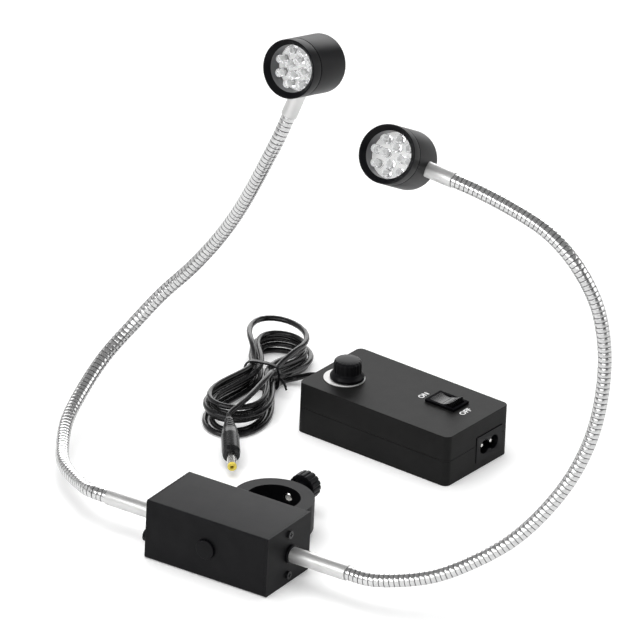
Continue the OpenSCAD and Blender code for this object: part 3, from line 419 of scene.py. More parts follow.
hankFrame = supplyFrame @ shift(*lead["hankPlace"]) @ turnZ(lead["hankTurn"])
plugFrame = supplyFrame @ shift(*lead["plugPlace"]) @ turnZ(lead["plugYaw"]) @ turnX(lead["plugDip"])


def easeIn(t):
    t = max(0, min(1, t))
    return t * t * (3 - 2 * t)


def hankLoop(angle):
    bulge = lead["waist"] + lead["bulge"] * math.sin(angle) ** 2
    far = lead["halfLength"] * math.sin(angle) * (1 - lead["round"] * math.cos(angle) ** 2)
    return Vector((bulge * math.cos(angle), far))


def hankPoint(turn):
    # place after so many turns: each turn lies a step further out or in, and each layer a step higher
    step = lead["diameter"] + lead["spare"]
    layerTurns = lead["loops"] / lead["layers"]
    layer = min(int(turn / layerTurns + 1e-6), lead["layers"] - 1)
    into = turn - layer * layerTurns
    spread = step * (layerTurns - into if layer % 2 == 0 else into)
    angle = -2 * math.pi * turn
    slope = hankLoop(angle + 0.008) - hankLoop(angle - 0.008)
    flat = hankLoop(angle) + Vector((slope.y, -slope.x)).normalized() * spread
    climb = sum(easeIn((turn - m * layerTurns) / lead["climbTurns"] + 0.5) for m in range(1, lead["layers"]))
    lift = lead["tieLift"] * math.cos(angle) ** 4
    halfTurns = 2 * lead["loops"]
    arc = min(int(turn * 2 + 1e-6), halfTurns - 1)  # each half turn strays in its own way
    out = flat.y / lead["halfLength"]
    rise = lead["lastRise"] * easeIn(out / lead["lastStart"]) if arc == halfTurns - 1 else 0
    return Vector((
        flat.x + lead["lean"][arc] * out**2,
        flat.y + math.copysign(lead["reach"][arc] * out**2, out),
        lead["diameter"] / 2 + lift + rise + step * climb,
    ))


def leadLine():
    ring = 60  # points for each loop
    hank = [hankFrame @ hankPoint(i / ring) for i in range(lead["loops"] * ring + 1)]
    out = supplyFrame.to_3x3() @ Vector((-1, 0, 0))
    down = hankFrame.to_3x3() @ Vector((0, -1, 0))
    plugWay = plugFrame.to_3x3() @ Vector((0, -1, 0))
    relief = supplyFrame @ Vector(lead["reliefEnd"])
    plug = plugFrame @ Vector((0, 0, 0))
    straight = lead["diameter"]
    first = [relief + out * straight]
    first += [supplyFrame @ Vector(p) for p in lead["supplyRoute"]] + [hank[0] - down * straight]
    last = [hank[-1] + down * straight] + [hankFrame @ Vector(p) for p in lead["plugRoute"]]
    last += [plug - plugWay * straight]
    return [relief] + hermite(first, out, down, 6) + hank + hermite(last, down, plugWay, 6) + [plug]


def makeLead():
    line = leadLine()
    data = bpy.data.curves.new("supplyCord", "CURVE")
    data.dimensions = "3D"
    data.bevel_depth = lead["diameter"] / 2 * mm
    data.bevel_resolution = 4
    spline = data.splines.new("POLY")
    spline.points.add(len(line) - 1)
    for point, place in zip(spline.points, line):
        point.co = (*(place * mm), 1)
    cord = bpy.data.objects.new("supplyCord", data)
    scene.collection.objects.link(cord)
    data.materials.append(finish["leadRubber"])
    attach(cord, "base")
    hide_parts("supply_lead", "lead_hank", "plug_lead")
    return cord, line


supplyCord, cordLine = makeLead()
print("lead laid:", round(lineLength(cordLine)), "mm")


# plug and strain relief

plug = {
    "rear": 2.6, "radius": 5.5, "length": 35, "taper": 12, "rings": 4,
    "barrel": 2.75, "barrelLength": 11, "bore": 1.1, "tipLength": 2,
}
pointing = plugFrame @ turnX(90)  # the plug's own axis, out of its rear end


def makePlug():
    corners = [(1.2, 0, 0), (plug["rear"], 0, 0.4)]
    for k in range(plug["rings"]):  # strain relief ribs behind the grip
        z = 1.2 + 2.5 * k
        r = plug["rear"] + 0.5 * k
        corners += [(r + 0.25, z + 1.3, 0.3), (r - 0.45, z + 1.45, 0.2)]
        corners += [(r - 0.4, z + 2.3, 0.2), (r + 0.6, z + 2.5, 0.3)]
    corners += [
        (plug["radius"] - 0.7, plug["taper"] + 0.8, 1), (plug["radius"] - 0.1, plug["taper"] + 5, 4),
        (plug["radius"], plug["length"] - 4, 2), (plug["radius"] - 0.5, plug["length"], 0.8), (2.9, plug["length"], 0),
    ]
    corners.append((2.5, plug["length"] - 1.5, 0))
    bm = bmesh.new()
    lathe(bm, roundCorners(corners), pointing)
    grip = dress(makePiece("plugGrip", bm, 50), "leadRubber", "black_plastic", "base", "plug_grip")

    end = plug["length"] + plug["barrelLength"]
    joint = end - plug["tipLength"]  # where the barrel meets its tip
    bm = bmesh.new()
    sleeve = [(plug["bore"], plug["length"] - 1.4, 0), (plug["barrel"], plug["length"] - 1.4, 0)]
    sleeve += [(plug["barrel"], joint - 0.1, 0.1), (plug["barrel"] - 0.15, joint, 0), (plug["bore"], joint, 0)]
    lathe(bm, roundCorners(sleeve), pointing, 48)
    barrel = dress(makePiece("plugBarrel", bm), "nickel", "nickel", "base", "plug_barrel")

    bm = bmesh.new()
    tip = [(plug["bore"], joint, 0), (plug["barrel"] - 0.15, joint, 0.1), (plug["barrel"], joint + 0.3, 0.1)]
    tip += [(plug["barrel"], end, 0.35), (plug["bore"], end, 0.25)]
    lathe(bm, roundCorners(tip), pointing, 48)
    insulator = dress(makePiece("plugTip", bm), "tipYellow", "tip_yellow", "base", "plug_tip")
    return [grip, barrel, insulator]


relief = {"flange": 4.6, "radius": 3.4, "end": 2.4, "bore": 1.75, "length": 10, "ribs": 3, "y": 14, "z": 14.5}


def makeRelief():
    place = supplyFrame @ shift(-supplyPlace["length"] / 2, relief["y"], relief["z"]) @ turnY(-90)
    corners = [(relief["bore"], -3.5, 0), (relief["flange"], -3.5, 0.2), (relief["flange"], -2, 0.2)]
    corners += [(relief["radius"], -2, 0), (relief["radius"], 1, 0.3)]
    for k in range(relief["ribs"]):
        z = 1.6 + 2.6 * k
        r = relief["radius"] - 0.3 * k
        corners += [(r - 0.15, z, 0.2), (r - 0.6, z + 0.2, 0.15), (r - 0.65, z + 1, 0.15), (r - 0.25, z + 1.2, 0.2)]
    corners += [(relief["end"], relief["length"], 0.4), (relief["bore"], relief["length"], 0)]
    bm = bmesh.new()
    lathe(bm, roundCorners(corners), place, 48)
    return dress(makePiece("leadRelief", bm, 50), "blackPlastic", "black_plastic", "base", "strain_relief")


plugPieces = makePlug()
leadRelief = makeRelief()
print("plug and relief made")


# hank tie: a coated wire strap round the waist with its twisted ends

tie = {
    "halfWidth": 10.4, "bottom": 0.05, "top": 18.6, "wide": 2.4, "thick": 1.1, "square": 0.55,
    "tail": 8, "wire": 0.55,
}


def ribbon(bm, line, across, thick, matrix):
    # a flat strap along a closed line; across is its half width
    count = len(line)
    rings = []
    for i, point in enumerate(line):
        tangent = (line[(i + 1) % count] - line[i - 1]).normalized()
        out = Vector((tangent.z, 0, -tangent.x))
        ring = []
        for side, depth in ((-1, 0), (-0.9, 1), (0.9, 1), (1, 0)):
            ring.append(bm.verts.new((matrix @ (point + Vector((0, side * across, 0)) + out * depth * thick)) * mm))
        rings.append(ring)
    for i in range(count):
        a, b = rings[i], rings[(i + 1) % count]
        for k in range(4):
            n = (k + 1) % 4
            bm.faces.new((a[k], a[n], b[n], b[k]))


def wire(bm, line, radius, matrix, sides=8):
    # a round wire along an open line, closed at both ends
    side = Vector((0, 0, 1))
    previous = None
    for i, point in enumerate(line):
        tangent = (line[min(i + 1, len(line) - 1)] - line[max(i - 1, 0)]).normalized()
        side = (side - tangent * side.dot(tangent)).normalized()
        other = tangent.cross(side)
        ring = []
        for k in range(sides):
            angle = 2 * math.pi * k / sides
            outward = math.cos(angle) * side + math.sin(angle) * other
            ring.append(bm.verts.new((matrix @ (point + radius * outward)) * mm))
        if previous:
            for k in range(sides):
                n = (k + 1) % sides
                bm.faces.new((previous[k], previous[n], ring[n], ring[k]))
        else:
            bm.faces.new(ring[::-1])
        previous = ring
    bm.faces.new(previous)


def makeTie():
    half = tie["halfWidth"]
    mid = (tie["top"] + tie["bottom"]) / 2
    tall = (tie["top"] - tie["bottom"]) / 2 - tie["thick"]
    line = []
    for k in range(64):  # a rounded square round the strands
        angle = 2 * math.pi * k / 64
        c, s = math.cos(angle), math.sin(angle)
        across = half * math.copysign(abs(c) ** tie["square"], c)
        line.append(Vector((across, 0, mid + tall * math.copysign(abs(s) ** tie["square"], s))))
    bm = bmesh.new()
    ribbon(bm, line, tie["wide"] / 2, tie["thick"], hankFrame)
    for way in (1, -1):  # ends twisted together at each side
        root = Vector((way * (half + 0.6), 0, mid))
        for phase in (0, math.pi):
            strand = []
            for k in range(25):
                t = k / 24
                angle = phase + 5 * math.pi * t
                wind = tie["wire"] * 1.05 * min(1, 6 * t + 0.3)
                strand.append(root + Vector((
                    way * tie["tail"] * 0.75 * t, -4 * way * t * t + wind * math.cos(angle),
                    -tie["tail"] * 0.5 * t * t + wind * math.sin(angle),
                )))
            wire(bm, strand, tie["wire"], hankFrame)
    return dress(makePiece("hankTie", bm, 60), "glossPlastic", "black_plastic", "base", "hank_tie")


makeTie()
print("tie made")


# housing, its end plates and screws

housingShell = softCopy("housing_shell", "housingShell", 0.45)
dress(housingShell, "housingPaint", "black_metal", "base", "housing_shell")
for side in ("left", "right"):
    plate = softCopy(f"{side}_end_plate", f"{side}EndPlate", 0.35)
    dress(plate, "housingPaint", "black_metal", "base", f"{side}_end_plate")
plateScrews = softCopy("case_screws", "caseScrews", 0.3)
dress(plateScrews, "screwBlack", "nickel", "base", "case_screws")

button = {"radius": 6, "front": -24.8, "back": -18, "z": 18.75}


def makeButton():
    corners = [(0, button["front"], 0), (button["radius"], button["front"], 0.4)]
    corners += [(button["radius"], button["back"], 0.2), (0, button["back"], 0)]
    bm = bmesh.new()
    lathe(bm, roundCorners(corners, closed=False), shift(0, 0, button["z"]) @ alongY, 72, closed=False)
    dress(makePiece("pushButton", bm), "blackPlastic", "black_plastic", "push_button", "push_button")


makeButton()

jack = {"radius": 4.25, "neck": 3.85, "body": 4.4, "proud": 4, "y": 16, "z": 11, "bore": 2.85, "pin": 1.05}


def makeJack():
    place = halfTurn @ shift(housing["length"] / 2, jack["y"], jack["z"]) @ alongX
    corners = [
        (jack["bore"], -10, 0), (jack["body"], -11.5, 0), (jack["body"], -1.5, 0), (jack["neck"], -1.5, 0),
        (jack["neck"], 0, 0),
        (jack["radius"], 0, 0.15), (jack["radius"], 1.1, 0.2), (jack["radius"] - 0.3, 1.3, 0.1),
        (jack["radius"] - 0.3, jack["proud"], 0.4), (jack["bore"], jack["proud"], 0.3),
    ]
    bm = bmesh.new()
    lathe(bm, roundCorners(corners), place, 48)
    pin = [(0, -11, 0), (jack["pin"], -11, 0), (jack["pin"], 1.6, 0.5), (0, 2, 0)]
    lathe(bm, roundCorners(pin, closed=False), place, 24, closed=False)
    dress(makePiece("dcJack", bm), "blackPlastic", "black_plastic", "base", "dc_jack")


def makeBlank():
    place = shift(housing["length"] / 2, jack["y"], jack["z"]) @ alongX
    corners = [(0, -5.5, 0), (jack["neck"], -5.5, 0.2), (jack["neck"], 0, 0), (jack["radius"], 0, 0.1)]
    corners += [(jack["radius"], 3.4, 0.9), (3.2, 4, 0.6), (0, 4, 0)]
    bm = bmesh.new()
    lathe(bm, roundCorners(corners, closed=False), place, 48, closed=False)
    dress(makePiece("blankingPlug", bm), "blackPlastic", "black_plastic", "base", "blanking_plug")


makeJack()
makeBlank()
print("housing dressed")


# clamp ring and thumbscrew

clampBore = {"y": 48.5, "radius": 16.2}  # a little over the bore's own radius
clampRing = softCopy("clamp_ring", "clampRing", 0.5)
dress(clampRing, "housingPaint", "black_metal", "base", "clamp_ring")
clampRing.data.materials.append(finish["dullBlackAndBoreShade"])
for face in clampRing.data.polygons:  # the wall of the bore gets the darker, duller black: painted shade inside the bore
    outward = math.hypot(face.center.x, face.center.y - clampBore["y"] * mm)
    if outward < clampBore["radius"] * mm and abs(face.normal.z) < 0.5:
        face.material_index = 1

thumb = {
    "hub": 77.5, "front": 79, "thick": 8.5, "radius": 8.5, "z": 16,
    "ribs": 16, "rib": 0.6, "rim": 7.2, "recess": 1.6,
    "rodRadius": 3, "rodFront": 67.35, "rodEnd": 85.5, "pitch": 1.0, "thread": 0.35, "stepsPerTurn": 8,
    "pad": [(0, 64.8, 0), (1.9, 64.8, 0.3), (2.95, 65.4, 0.4), (2.95, 67.3, 0.2), (0, 67.3, 0)],
}
screwAxis = shift(0, 0, thumb["z"]) @ alongY


def thumbGrip(angle, radius, height):
    # flutes between broad ribs, fading out over the rounded ends
    if radius < thumb["radius"] - 1.2:
        return 0
    wave = 0.5 - 0.5 * math.cos(angle * thumb["ribs"])
    return thumb["rib"] * wave**5


def makeThumb():
    low, high = thumb["front"], thumb["front"] + thumb["thick"]
    corners = [
        (0, thumb["hub"], 0), (4, thumb["hub"], 0.4), (5, low + thumb["recess"], 0.4),
        (thumb["rim"] - 0.2, low + thumb["recess"], 0.3), (thumb["rim"], low, 0.2), (thumb["radius"], low, 0.5),
        (thumb["radius"], high - 0.1, 0.9), (thumb["radius"] - 1.6, high, 0.3),
        (5.6, high, 0.2), (5.2, high - 0.5, 0.2), (0, high - 0.5, 0),
    ]
    bm = bmesh.new()
    lathe(bm, roundCorners(corners, closed=False), screwAxis, 192, closed=False, shape=thumbGrip)
    dress(makePiece("thumbKnob", bm, 45), "blackPlastic", "black_plastic", "thumbscrew", "thumbscrew_knob")

    def threadCut(angle, radius, height):
        if radius < thumb["rodRadius"] - 0.5:
            return 0
        t = (height / thumb["pitch"] - angle / (2 * math.pi)) % 1
        return thumb["thread"] * abs(2 * t - 1)

    rise = thumb["pitch"] / thumb["stepsPerTurn"]
    levels = int((thumb["rodEnd"] - thumb["rodFront"]) / rise)
    rod = [(0, thumb["rodFront"])]
    rod += [(thumb["rodRadius"], thumb["rodFront"] + k * rise) for k in range(levels + 1)]
    rod += [(0, rod[-1][1])]
    bm = bmesh.new()
    lathe(bm, rod, screwAxis, 40, closed=False, shape=threadCut)
    dress(makePiece("thumbRod", bm), "nickel", "nickel", "thumbscrew", "thumbscrew_rod")

    bm = bmesh.new()
    lathe(bm, roundCorners(thumb["pad"], closed=False), screwAxis, 48, closed=False)
    dress(makePiece("screwPad", bm), "nickel", "nickel", "screw_pad", "screw_pad")


makeThumb()
print("clamp dressed")


# necks

neck = {
    "pitch": 3.15, "crest": 4.15, "root": 3.6, "sides": 24, "straight": 8, "ribsInSets": 25, "stepsPerRib": 50,
    "mouth": 81.5, "y": 2, "z": 18.5, "cuts": (0, 0.12, 0.44, 0.56, 0.88, 1),
    "leftRoute": [
        (-27, 10, -3), (-47, 25, -4), (-62, 46, -4), (-74, 69, -1), (-80, 93, 6), (-80, 116, 19), (-72, 134, 36),
        (-59, 143, 56), (-43, 149, 76), (-28, 151, 97), (-14, 149, 119), (-2, 146, 141), (9, 144, 164)
    ],
    "leftEnd": (20, 148, 195),
    "leftAim": (-1, 15, -14),
    "rightRoute": [
        (27, 4, 2), (50, 14, 8), (70, 27, 19), (87, 40, 33), (100, 53, 51), (110, 64, 72), (116, 73, 96),
        (117, 80, 121), (114, 85, 146), (107, 86, 171), (94, 83, 194), (74, 83, 209), (49, 83, 217)
    ],
    "rightEnd": (9.5, 81, 224.5),
    "rightAim": (6, 29, 82),
}
ribShape = [  # share of the pitch, share of the rib's height
    (0.0, 0.0), (0.04, 0.0), (0.08, 0.84), (0.2, 0.95), (0.5, 1.0), (0.8, 0.95), (0.92, 0.84), (0.96, 0.0)
]


def aimTurn(aim):
    yaw, pitch, turn = aim
    return turnZ(yaw) @ turnX(-pitch) @ turnY(-turn)


def neckLine(side):
    sign = -1 if side == "left" else 1
    mouth = Vector((sign * neck["mouth"], sign * neck["y"], neck["z"]))
    first = Vector((sign, 0, 0))
    last = aimTurn(neck[side + "Aim"]).to_3x3() @ Vector((0, 0, 1))
    end = Vector(neck[side + "End"])
    bent = [first * neck["straight"]] + [Vector(p) for p in neck[side + "Route"]] + [end - last * neck["straight"]]
    line = [Vector((0, 0, 0))] + hermite(bent, first, last, 24) + [end]
    return [mouth + p for p in line], last


def hoseRings(line):
    # ring centres and radii of the whole hose, with each rib's own profile
    ribs = round(lineLength(line) / neck["pitch"] / neck["ribsInSets"]) * neck["ribsInSets"]
    fine = evenPoints(line, ribs * neck["stepsPerRib"])
    rings = []
    for rib in range(ribs):
        for share, height in ribShape:
            k = round((rib + share) * neck["stepsPerRib"])
            rings.append((fine[k], neck["root"] + (neck["crest"] - neck["root"]) * height))
    rings.append((fine[-1], neck["root"]))
    return rings, ribs


def hoseStretch(rings, name):
    bm = bmesh.new()
    side = Vector((0, 0, 1))
    sides = neck["sides"]
    previous = None
    for i, (centre, radius) in enumerate(rings):
        ahead = rings[min(i + 1, len(rings) - 1)][0] - rings[max(i - 1, 0)][0]
        tangent = ahead.normalized()
        side = (side - tangent * side.dot(tangent)).normalized()
        other = tangent.cross(side)
        ring = []
        for k in range(sides):
            angle = 2 * math.pi * k / sides
            ring.append(bm.verts.new((centre + radius * (math.cos(angle) * side + math.sin(angle) * other)) * mm))
        if previous:
            # faces in a groove take the darker second finish, which is painted shade in the grooves
            shadedGroove = min(radius, rings[i - 1][1]) < neck["root"] + 0.1
            for k in range(sides):
                n = (k + 1) % sides
                face = bm.faces.new((previous[k], previous[n], ring[n], ring[k]))
                face.material_index = int(shadedGroove)
        else:
            bm.faces.new(ring[::-1])
        previous = ring
    bm.faces.new(previous)
    piece = makePiece(name, bm, 60)
    piece.data.materials.append(finish["neckChrome"])
    piece.data.materials.append(finish["neckGrooveShade"])
    return piece


def makeNeck(side):
    line, heading = neckLine(side)
    rings, ribs = hoseRings(line)
    perRib = len(ribShape)
    cuts = [round(share * ribs) * perRib for share in neck["cuts"]]
    cuts[-1] = len(rings) - 1
    bodies = ["base", f"{side}_arm_lower", f"{side}_arm_upper", f"{side}_lamp"]
    names = ["base_bend", "lower", "middle_bend", "upper", "head_bend"]
    for i, name in enumerate(names):
        stretch = rings[cuts[i]:cuts[i + 1] + 1]
        piece = hoseStretch(stretch, f"{side}Neck_{name}")
        node = f"{side}_neck_{name}"
        if name.endswith("bend"):
            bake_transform(piece)
        else:
            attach(piece, bodies[(i + 1) // 2])
        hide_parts(node)
    return line[-1], heading


ends = {side: makeNeck(side) for side in ("left", "right")}
print("necks wound")


# ferrules and collars

ferrule = {
    "radius": 4.75, "collarRadius": 5.8, "collarBore": 4.05, "collar": 1.5, "baseLength": 38, "lampLength": 17,
    "bore": 4.1, "wireHole": 2.2, "seat": 2, "shank": 4, "shankDepth": 7.5, "lampDepth": 3.4,
}


def makeFerrules():
    plate = housing["length"] / 2  # outer face of an end plate
    start = plate + ferrule["collar"]
    collars = bmesh.new()
    for side, turn in (("left", halfTurn), ("right", Matrix.Identity(4))):
        place = turn @ shift(0, neck["y"], neck["z"]) @ alongX
        rim = [(ferrule["collarBore"], plate, 0), (ferrule["collarRadius"], plate, 0.2)]
        rim += [(ferrule["collarRadius"], start, 0.4), (ferrule["collarBore"], start, 0)]
        lathe(collars, roundCorners(rim), place, 72)
        mouth = start + ferrule["baseLength"]
        sleeve = [
            (ferrule["wireHole"], plate - ferrule["shankDepth"], 0),
            (ferrule["shank"], plate - ferrule["shankDepth"], 0.2), (ferrule["shank"], start - 0.01, 0),
            (ferrule["radius"], start, 0.35), (ferrule["radius"], mouth - 0.1, 0.6), (ferrule["bore"], mouth, 0.2),
            (ferrule["bore"], mouth - ferrule["seat"], 0), (ferrule["wireHole"], mouth - ferrule["seat"], 0),
        ]
        bm = bmesh.new()
        lathe(bm, roundCorners(sleeve), place, 96)
        piece = makePiece(f"{side}BaseFerrule", bm)
        dress(piece, "ferruleSteel", "nickel", "base", f"{side}_base_ferrule")
    dress(makePiece("ferruleCollars", collars), "blackPlastic", "black_plastic", "base", "ferrule_collars")


makeFerrules()
print("ferrules made")


# lamps: in a lamp's own frame the front faces -Y and the stem leaves along -Z

lamp = {
    "radius": 17.5, "front": -25, "seam": -16.5, "back": 10.5, "window": 14, "lip": 16.8, "lipDepth": 3,
    "plate": -12.5, "plateThick": 2, "bore": 15.5, "innerRadius": 13.5,
    "outerCount": 8, "outerRing": 10.55, "innerCount": 4, "innerRing": 5, "bulb": 2.7, "bulbLength": 8.6,
    "groove": 0.22, "grooveDepth": 1.1, "backWall": 2.5, "boardSeat": -8.5, "flange": 0.35, "flangeHeight": 0.9,
    "domeSteps": 8, "domeShare": 0.95,  # steps of a bulb's dome, its height as a share of the bulb's radius
    "cup": [(0, 1.2), (0.5, 1.2), (0.5, 3.2), (1.1, 4.5), (0.9, 4.5), (0.4, 3.5), (0, 3.5)],  # above the plate
}


def lampFrame(side):
    end, heading = ends[side]
    return Matrix.Translation(end + heading * (ferrule["lampLength"] + lamp["radius"])) @ aimTurn(neck[side + "Aim"])


def bulbPlaces():
    places = []
    for ring in ("outer", "inner"):
        count, radius = lamp[ring + "Count"], lamp[ring + "Ring"]
        for k in range(count):
            angle = 2 * math.pi * k / count
            places.append((radius * math.cos(angle), -radius * math.sin(angle)))
    return places


def makeLamp(side):
    place = lampFrame(side)
    axis = place @ alongY
    body = f"{side}_lamp"

    r, seam = lamp["radius"], lamp["seam"]
    slit, deep = lamp["groove"], r - lamp["grooveDepth"]
    corners = [
        (lamp["bore"], seam, 0), (deep, seam, 0), (deep, seam + slit, 0), (r - 0.2, seam + slit, 0.1),
        (r, seam + slit + 0.25, 0.15), (r, lamp["back"], 1.0), (0, lamp["back"], 0),
    ]
    rear = lamp["back"] - lamp["backWall"]
    inside = [(0, rear, 0), (lamp["innerRadius"], rear, 0.5)]
    inside += [(lamp["innerRadius"], lamp["boardSeat"], 0), (lamp["bore"], lamp["boardSeat"], 0)]
    bm = bmesh.new()
    profile = roundCorners(corners, closed=False) + roundCorners(inside, closed=False)
    lathe(bm, profile, axis, 120)
    dress(makePiece(f"{side}LampBarrel", bm), "lampAnodised", "black_metal", body, f"{side}_lamp_barrel")

    front = lamp["front"]
    corners = [
        (lamp["window"], seam + 4, 0), (lamp["window"], front + lamp["lipDepth"], 0.4), (lamp["lip"], front, 0.2),
        (r, front, 0.5), (r, seam - slit - 0.25, 0.15), (r - 0.2, seam - slit, 0.1), (deep, seam - slit, 0),
        (deep, seam, 0), (lamp["bore"] - 0.1, seam, 0), (lamp["bore"] - 0.1, seam + 4, 0),
    ]
    bm = bmesh.new()
    lathe(bm, roundCorners(corners), axis, 120)
    bezel = dress(makePiece(f"{side}LampBezel", bm), "lampAnodised", "black_metal", body, f"{side}_lamp_bezel")
    bezel.data.materials.append(finish["hoodSatin"])
    into = axis.inverted() @ Matrix.Scale(1 / mm, 4)
    for face in bezel.data.polygons:  # the wall round the bulbs is a bare satin finish
        at = into @ face.center
        if math.hypot(at.x, at.y) < lamp["window"] + 0.05:
            face.material_index = 1

    # bulbs on a pale carrier, each with a small cup inside it; carrier and cups glow faintly, which is painted light
    # as the LEDs are not lit
    plate, behind, rim = lamp["plate"], lamp["plate"] + lamp["plateThick"], lamp["bore"] - 0.3
    bm = bmesh.new()
    disc = [(0, plate, 0), (rim, plate, 0.2), (rim, behind, 0.2), (0, behind, 0)]
    lathe(bm, roundCorners(disc, closed=False), axis, 96, closed=False)
    dress(makePiece(f"{side}LedCarrier", bm), "ledBoardWhiteGlow", "clear_lens", body)

    bulbs, cores = bmesh.new(), bmesh.new()
    top = plate - lamp["bulbLength"]
    wide = lamp["bulb"] + lamp["flange"]
    for x, z in bulbPlaces():
        at = place @ shift(x, 0, z) @ alongY
        dome = [(0, plate - 0.02), (wide, plate - 0.02), (wide, plate - lamp["flangeHeight"])]
        dome += [(lamp["bulb"], plate - lamp["flangeHeight"] - 0.1)]
        for k in range(lamp["domeSteps"] + 1):
            angle = math.pi / 2 * k / lamp["domeSteps"]
            height = top + lamp["bulb"] * lamp["domeShare"] * (1 - math.sin(angle))
            dome.append((lamp["bulb"] * math.cos(angle), height))
        dome[-1] = (0, top)
        lathe(bulbs, dome, at, 28, closed=False)
        lathe(cores, [(radius, plate - rise) for radius, rise in lamp["cup"]], at, 20, closed=False)
    dress(makePiece(f"{side}LampBulbs", bulbs), "clearLens", "clear_lens", body, f"{side}_lamp_lens")
    dress(makePiece(f"{side}LampCores", cores), "bulbCoreGlow", "clear_lens", body)

    stem = place @ shift(0, 0, -lamp["radius"] - ferrule["lampLength"])
    inner = ferrule["lampLength"] + ferrule["lampDepth"]
    sleeve = [
        (ferrule["wireHole"], ferrule["seat"], 0), (ferrule["bore"], ferrule["seat"], 0), (ferrule["bore"], 0, 0.2),
        (ferrule["radius"], 0.1, 0.6), (ferrule["radius"], inner, 0), (ferrule["wireHole"], inner, 0),
    ]
    bm = bmesh.new()
    lathe(bm, roundCorners(sleeve), stem, 96)
    dress(makePiece(f"{side}LampFerrule", bm), "ferruleSteel", "nickel", body, f"{side}_lamp_ferrule")


for side in ("left", "right"):
    makeLamp(side)
print("lamps made")


# supply

supplyTop = softCopy("supply_top", "supplyTop", 0.8)
dress(supplyTop, "supplyPlastic", "case_plastic", "base", "supply_top")
supplyBottom = softCopy("supply_bottom", "supplyBottom", 0.5)
dress(supplyBottom, "supplyPlastic", "case_plastic", "base", "supply_bottom")
dialPlate = softCopy("dial_plate", "dialPlate", 0.12)
dress(dialPlate, "dialWhite", "dial_white", "base", "dial_plate")
switchFrame = softCopy("switch_frame", "switchFrame", 0.3)
dress(switchFrame, "dullBlackAndBoreShade", "black_plastic", "base", "switch_frame")
switchRocker = softCopy("switch_rocker", "switchRocker", 0.4)
dress(switchRocker, "glossPlastic", "black_plastic", "rocker", "switch_rocker")
inletSocket = softCopy("inlet_socket", "inletSocket", 0.45)
dress(inletSocket, "blackPlastic", "black_plastic", "base", "inlet_socket")
inletPins = softCopy("inlet_pins", "inletPins", 0.5)
dress(inletPins, "nickel", "nickel", "base", "inlet_pins")

dimmer = {
    "x": -35.8, "y": -8, "bottom": 32.9, "cap": 8.3, "skirt": 10.25, "height": 12,
    "flutes": 18, "flute": 0.28, "socket": 3.2, "socketTop": 3.0, "socketDepth": 10.5,
}


def makeDimmer():
    place = supplyFrame @ shift(dimmer["x"], dimmer["y"], dimmer["bottom"])

    def fluted(angle, radius, height):
        if height < 4.2 or radius < dimmer["cap"] - 1.2:
            return 0
        return dimmer["flute"] * (0.5 - 0.5 * math.cos(angle * dimmer["flutes"])) ** 2

    cap, skirt, top = dimmer["cap"], dimmer["skirt"], dimmer["height"]
    corners = [
        (dimmer["socket"], 0, 0), (skirt - 0.3, 0, 0.2), (skirt, 0.4, 0.3), (skirt, 1.8, 0.5),
        (cap + 0.9, 3.4, 0.6), (cap + 0.1, 4.1, 0.3), (cap, 5, 0), (cap - 0.1, top - 1.4, 0.6),
        (cap - 0.9, top - 0.35, 0.8), (3.2, top, 0), (0, top, 0),
    ]
    under = [Vector((0, dimmer["socketDepth"])), Vector((dimmer["socketTop"], dimmer["socketDepth"]))]
    bm = bmesh.new()
    lathe(bm, roundCorners(corners, closed=False) + under, place, 144, shape=fluted)
    dress(makePiece("dimmerKnob", bm, 45), "blackPlastic", "black_plastic", "dimmer", "dimmer_knob")


makeDimmer()

words = {
    "ON": (10.4, 5.0, 7.5), "OFF": (41.5, 4.5, 9.2), "height": 3.8,  # place and length of each
    "draftSize": 3.5, "bold": 0.09, "lift": 0.02,
}


def makeWord(word):
    data = bpy.data.curves.new(word, "FONT")
    data.body = word
    data.size = words["draftSize"]
    data.align_x = "CENTER"
    data.align_y = "CENTER"
    data.extrude = words["lift"]
    data.offset = words["bold"]
    draft = bpy.data.objects.new(word + "Draft", data)
    scene.collection.objects.link(draft)
    bpy.context.view_layer.update()
    mesh = bpy.data.meshes.new_from_object(draft.evaluated_get(bpy.context.evaluated_depsgraph_get()))
    bpy.data.objects.remove(draft)
    low = [min(v.co[i] for v in mesh.vertices) for i in range(2)]
    high = [max(v.co[i] for v in mesh.vertices) for i in range(2)]
    x, y, length = words[word]
    place = supplyFrame @ shift(x, y, supplyPlace["height"] + words["lift"]) @ turnZ(90)
    for vert in mesh.vertices:
        across = (vert.co.x - (low[0] + high[0]) / 2) / (high[0] - low[0]) * length
        tall = (vert.co.y - (low[1] + high[1]) / 2) / (high[1] - low[1]) * words["height"]
        vert.co = (place @ Vector((across, tall, vert.co.z))) * mm
    piece = bpy.data.objects.new("word" + word.title(), mesh)
    scene.collection.objects.link(piece)
    dress(piece, "printWhite", "dial_white", "base")


makeWord("ON")
makeWord("OFF")
print("supply dressed")


# frame pieces that keep their own shape

# the LED boards take the glowing carrier white, whose glow is painted light
keptLooks = {
    "push_switch": "innerPlastic", "driver_board": "boardGreen", "clamp_bolts": "nickel", "ferrule_nuts": "nickel",
    "left_led_board": "ledBoardWhiteGlow", "right_led_board": "ledBoardWhiteGlow", "dimmer_shaft": "nickel",
    "potentiometer": "nickel", "supply_board": "boardGreen",
}
for node, look in keptLooks.items():
    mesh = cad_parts[node].data
    mesh.materials.clear()
    mesh.materials.append(finish[look])


# floor and light

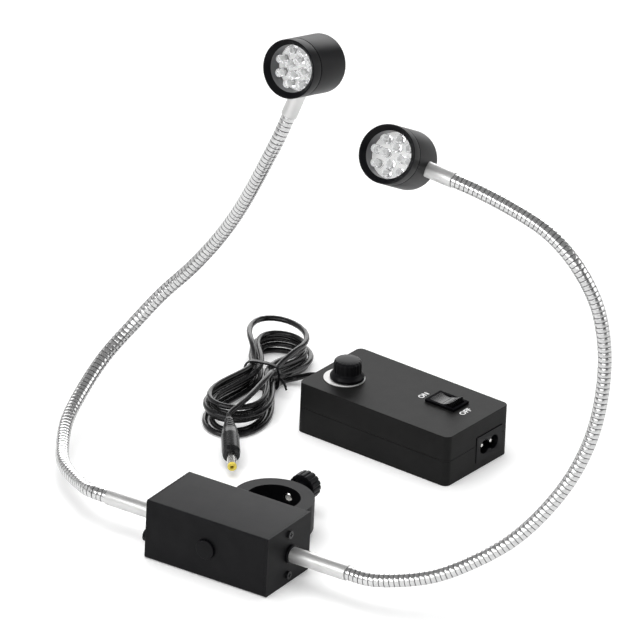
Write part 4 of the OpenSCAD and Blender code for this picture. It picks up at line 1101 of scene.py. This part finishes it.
studio = {
    "floor": 40, "floorColour": (0.88, 0.88, 0.88), "floorGlow": 0.24, "floorDrop": 0.0002, "world": 0.22,
    "target": (0, 0.1, 0.08),  # in metres, as are the lights' places
    "lights": {
        "top": {"place": (-0.25, 0.0, 1.9), "size": (2.0, 2.0), "power": 44, "unmirrored": True},
        "backdrop": {"place": (-1.35, 2.45, 1.05), "size": (3.2, 1.7), "power": 60, "sheenOnly": True},
        "front": {"place": (-0.35, -2.3, 1.15), "size": (1.8, 1.2), "power": 9},
        "right": {"place": (2.0, 1.4, 0.9), "size": (2.6, 1.5), "power": 26, "sheenOnly": True},
        "left": {"place": (-2.4, -0.4, 0.9), "size": (2.6, 1.5), "power": 9, "sheenOnly": True},
        "spark": {"place": (-0.9, -1.9, 1.3), "size": (0.8, 0.8), "power": 14, "sheenOnly": True},
        "foredrop": {"place": (0.9, -2.6, 1.0), "size": (3.2, 1.6), "power": 30, "sheenOnly": True},
    },
}


def makeFloor():
    bm = bmesh.new()
    bmesh.ops.create_grid(bm, x_segments=1, y_segments=1, size=studio["floor"] / 2)
    mesh = bpy.data.meshes.new("studioFloor")
    bm.to_mesh(mesh)
    bm.free()
    floor = bpy.data.objects.new("studioFloor", mesh)
    floor.location.z = -studio["floorDrop"]
    scene.collection.objects.link(floor)
    pale = surface("studioFloor", {
        "colours": (studio["floorColour"], studio["floorColour"]), "rough": (0.55, 0.65), "grainScale": 60,
        "grainStrength": 0.02, "specular": 0.2, "glow": studio["floorGlow"],
    })
    mesh.materials.append(pale)


def makeLight(name, look):
    data = bpy.data.lights.new(name, "AREA")
    data.shape = "RECTANGLE"
    data.size, data.size_y = look["size"]
    data.energy = look["power"]
    light = bpy.data.objects.new(name, data)
    light.location = look["place"]
    light.rotation_mode = "QUATERNION"
    light.rotation_quaternion = (Vector(studio["target"]) - light.location).to_track_quat("-Z", "Y")
    light.visible_camera = False
    light.visible_diffuse = not look.get("sheenOnly", False)
    light.visible_glossy = not look.get("unmirrored", False)
    scene.collection.objects.link(light)


def makeWorld():
    world = bpy.data.worlds.new("studioWorld")
    world.use_nodes = True
    nodes, links = world.node_tree.nodes, world.node_tree.links
    back = nodes["Background"]
    back.inputs["Strength"].default_value = studio["world"]
    coords = nodes.new("ShaderNodeTexCoord")
    split = nodes.new("ShaderNodeSeparateXYZ")
    ramp = nodes.new("ShaderNodeValToRGB")
    ramp.color_ramp.elements[0].position = 0.0
    ramp.color_ramp.elements[0].color = (0.25, 0.25, 0.25, 1)
    ramp.color_ramp.elements[1].position = 0.8
    ramp.color_ramp.elements[1].color = (1, 1, 1, 1)
    links.new(coords.outputs["Generated"], split.inputs["Vector"])
    links.new(split.outputs["Z"], ramp.inputs["Fac"])
    links.new(ramp.outputs["Color"], back.inputs["Color"])
    scene.world = world


makeFloor()
for name, look in studio["lights"].items():
    makeLight(name + "Light", look)
makeWorld()
scene.view_settings.view_transform = "Standard"
print("studio lit")
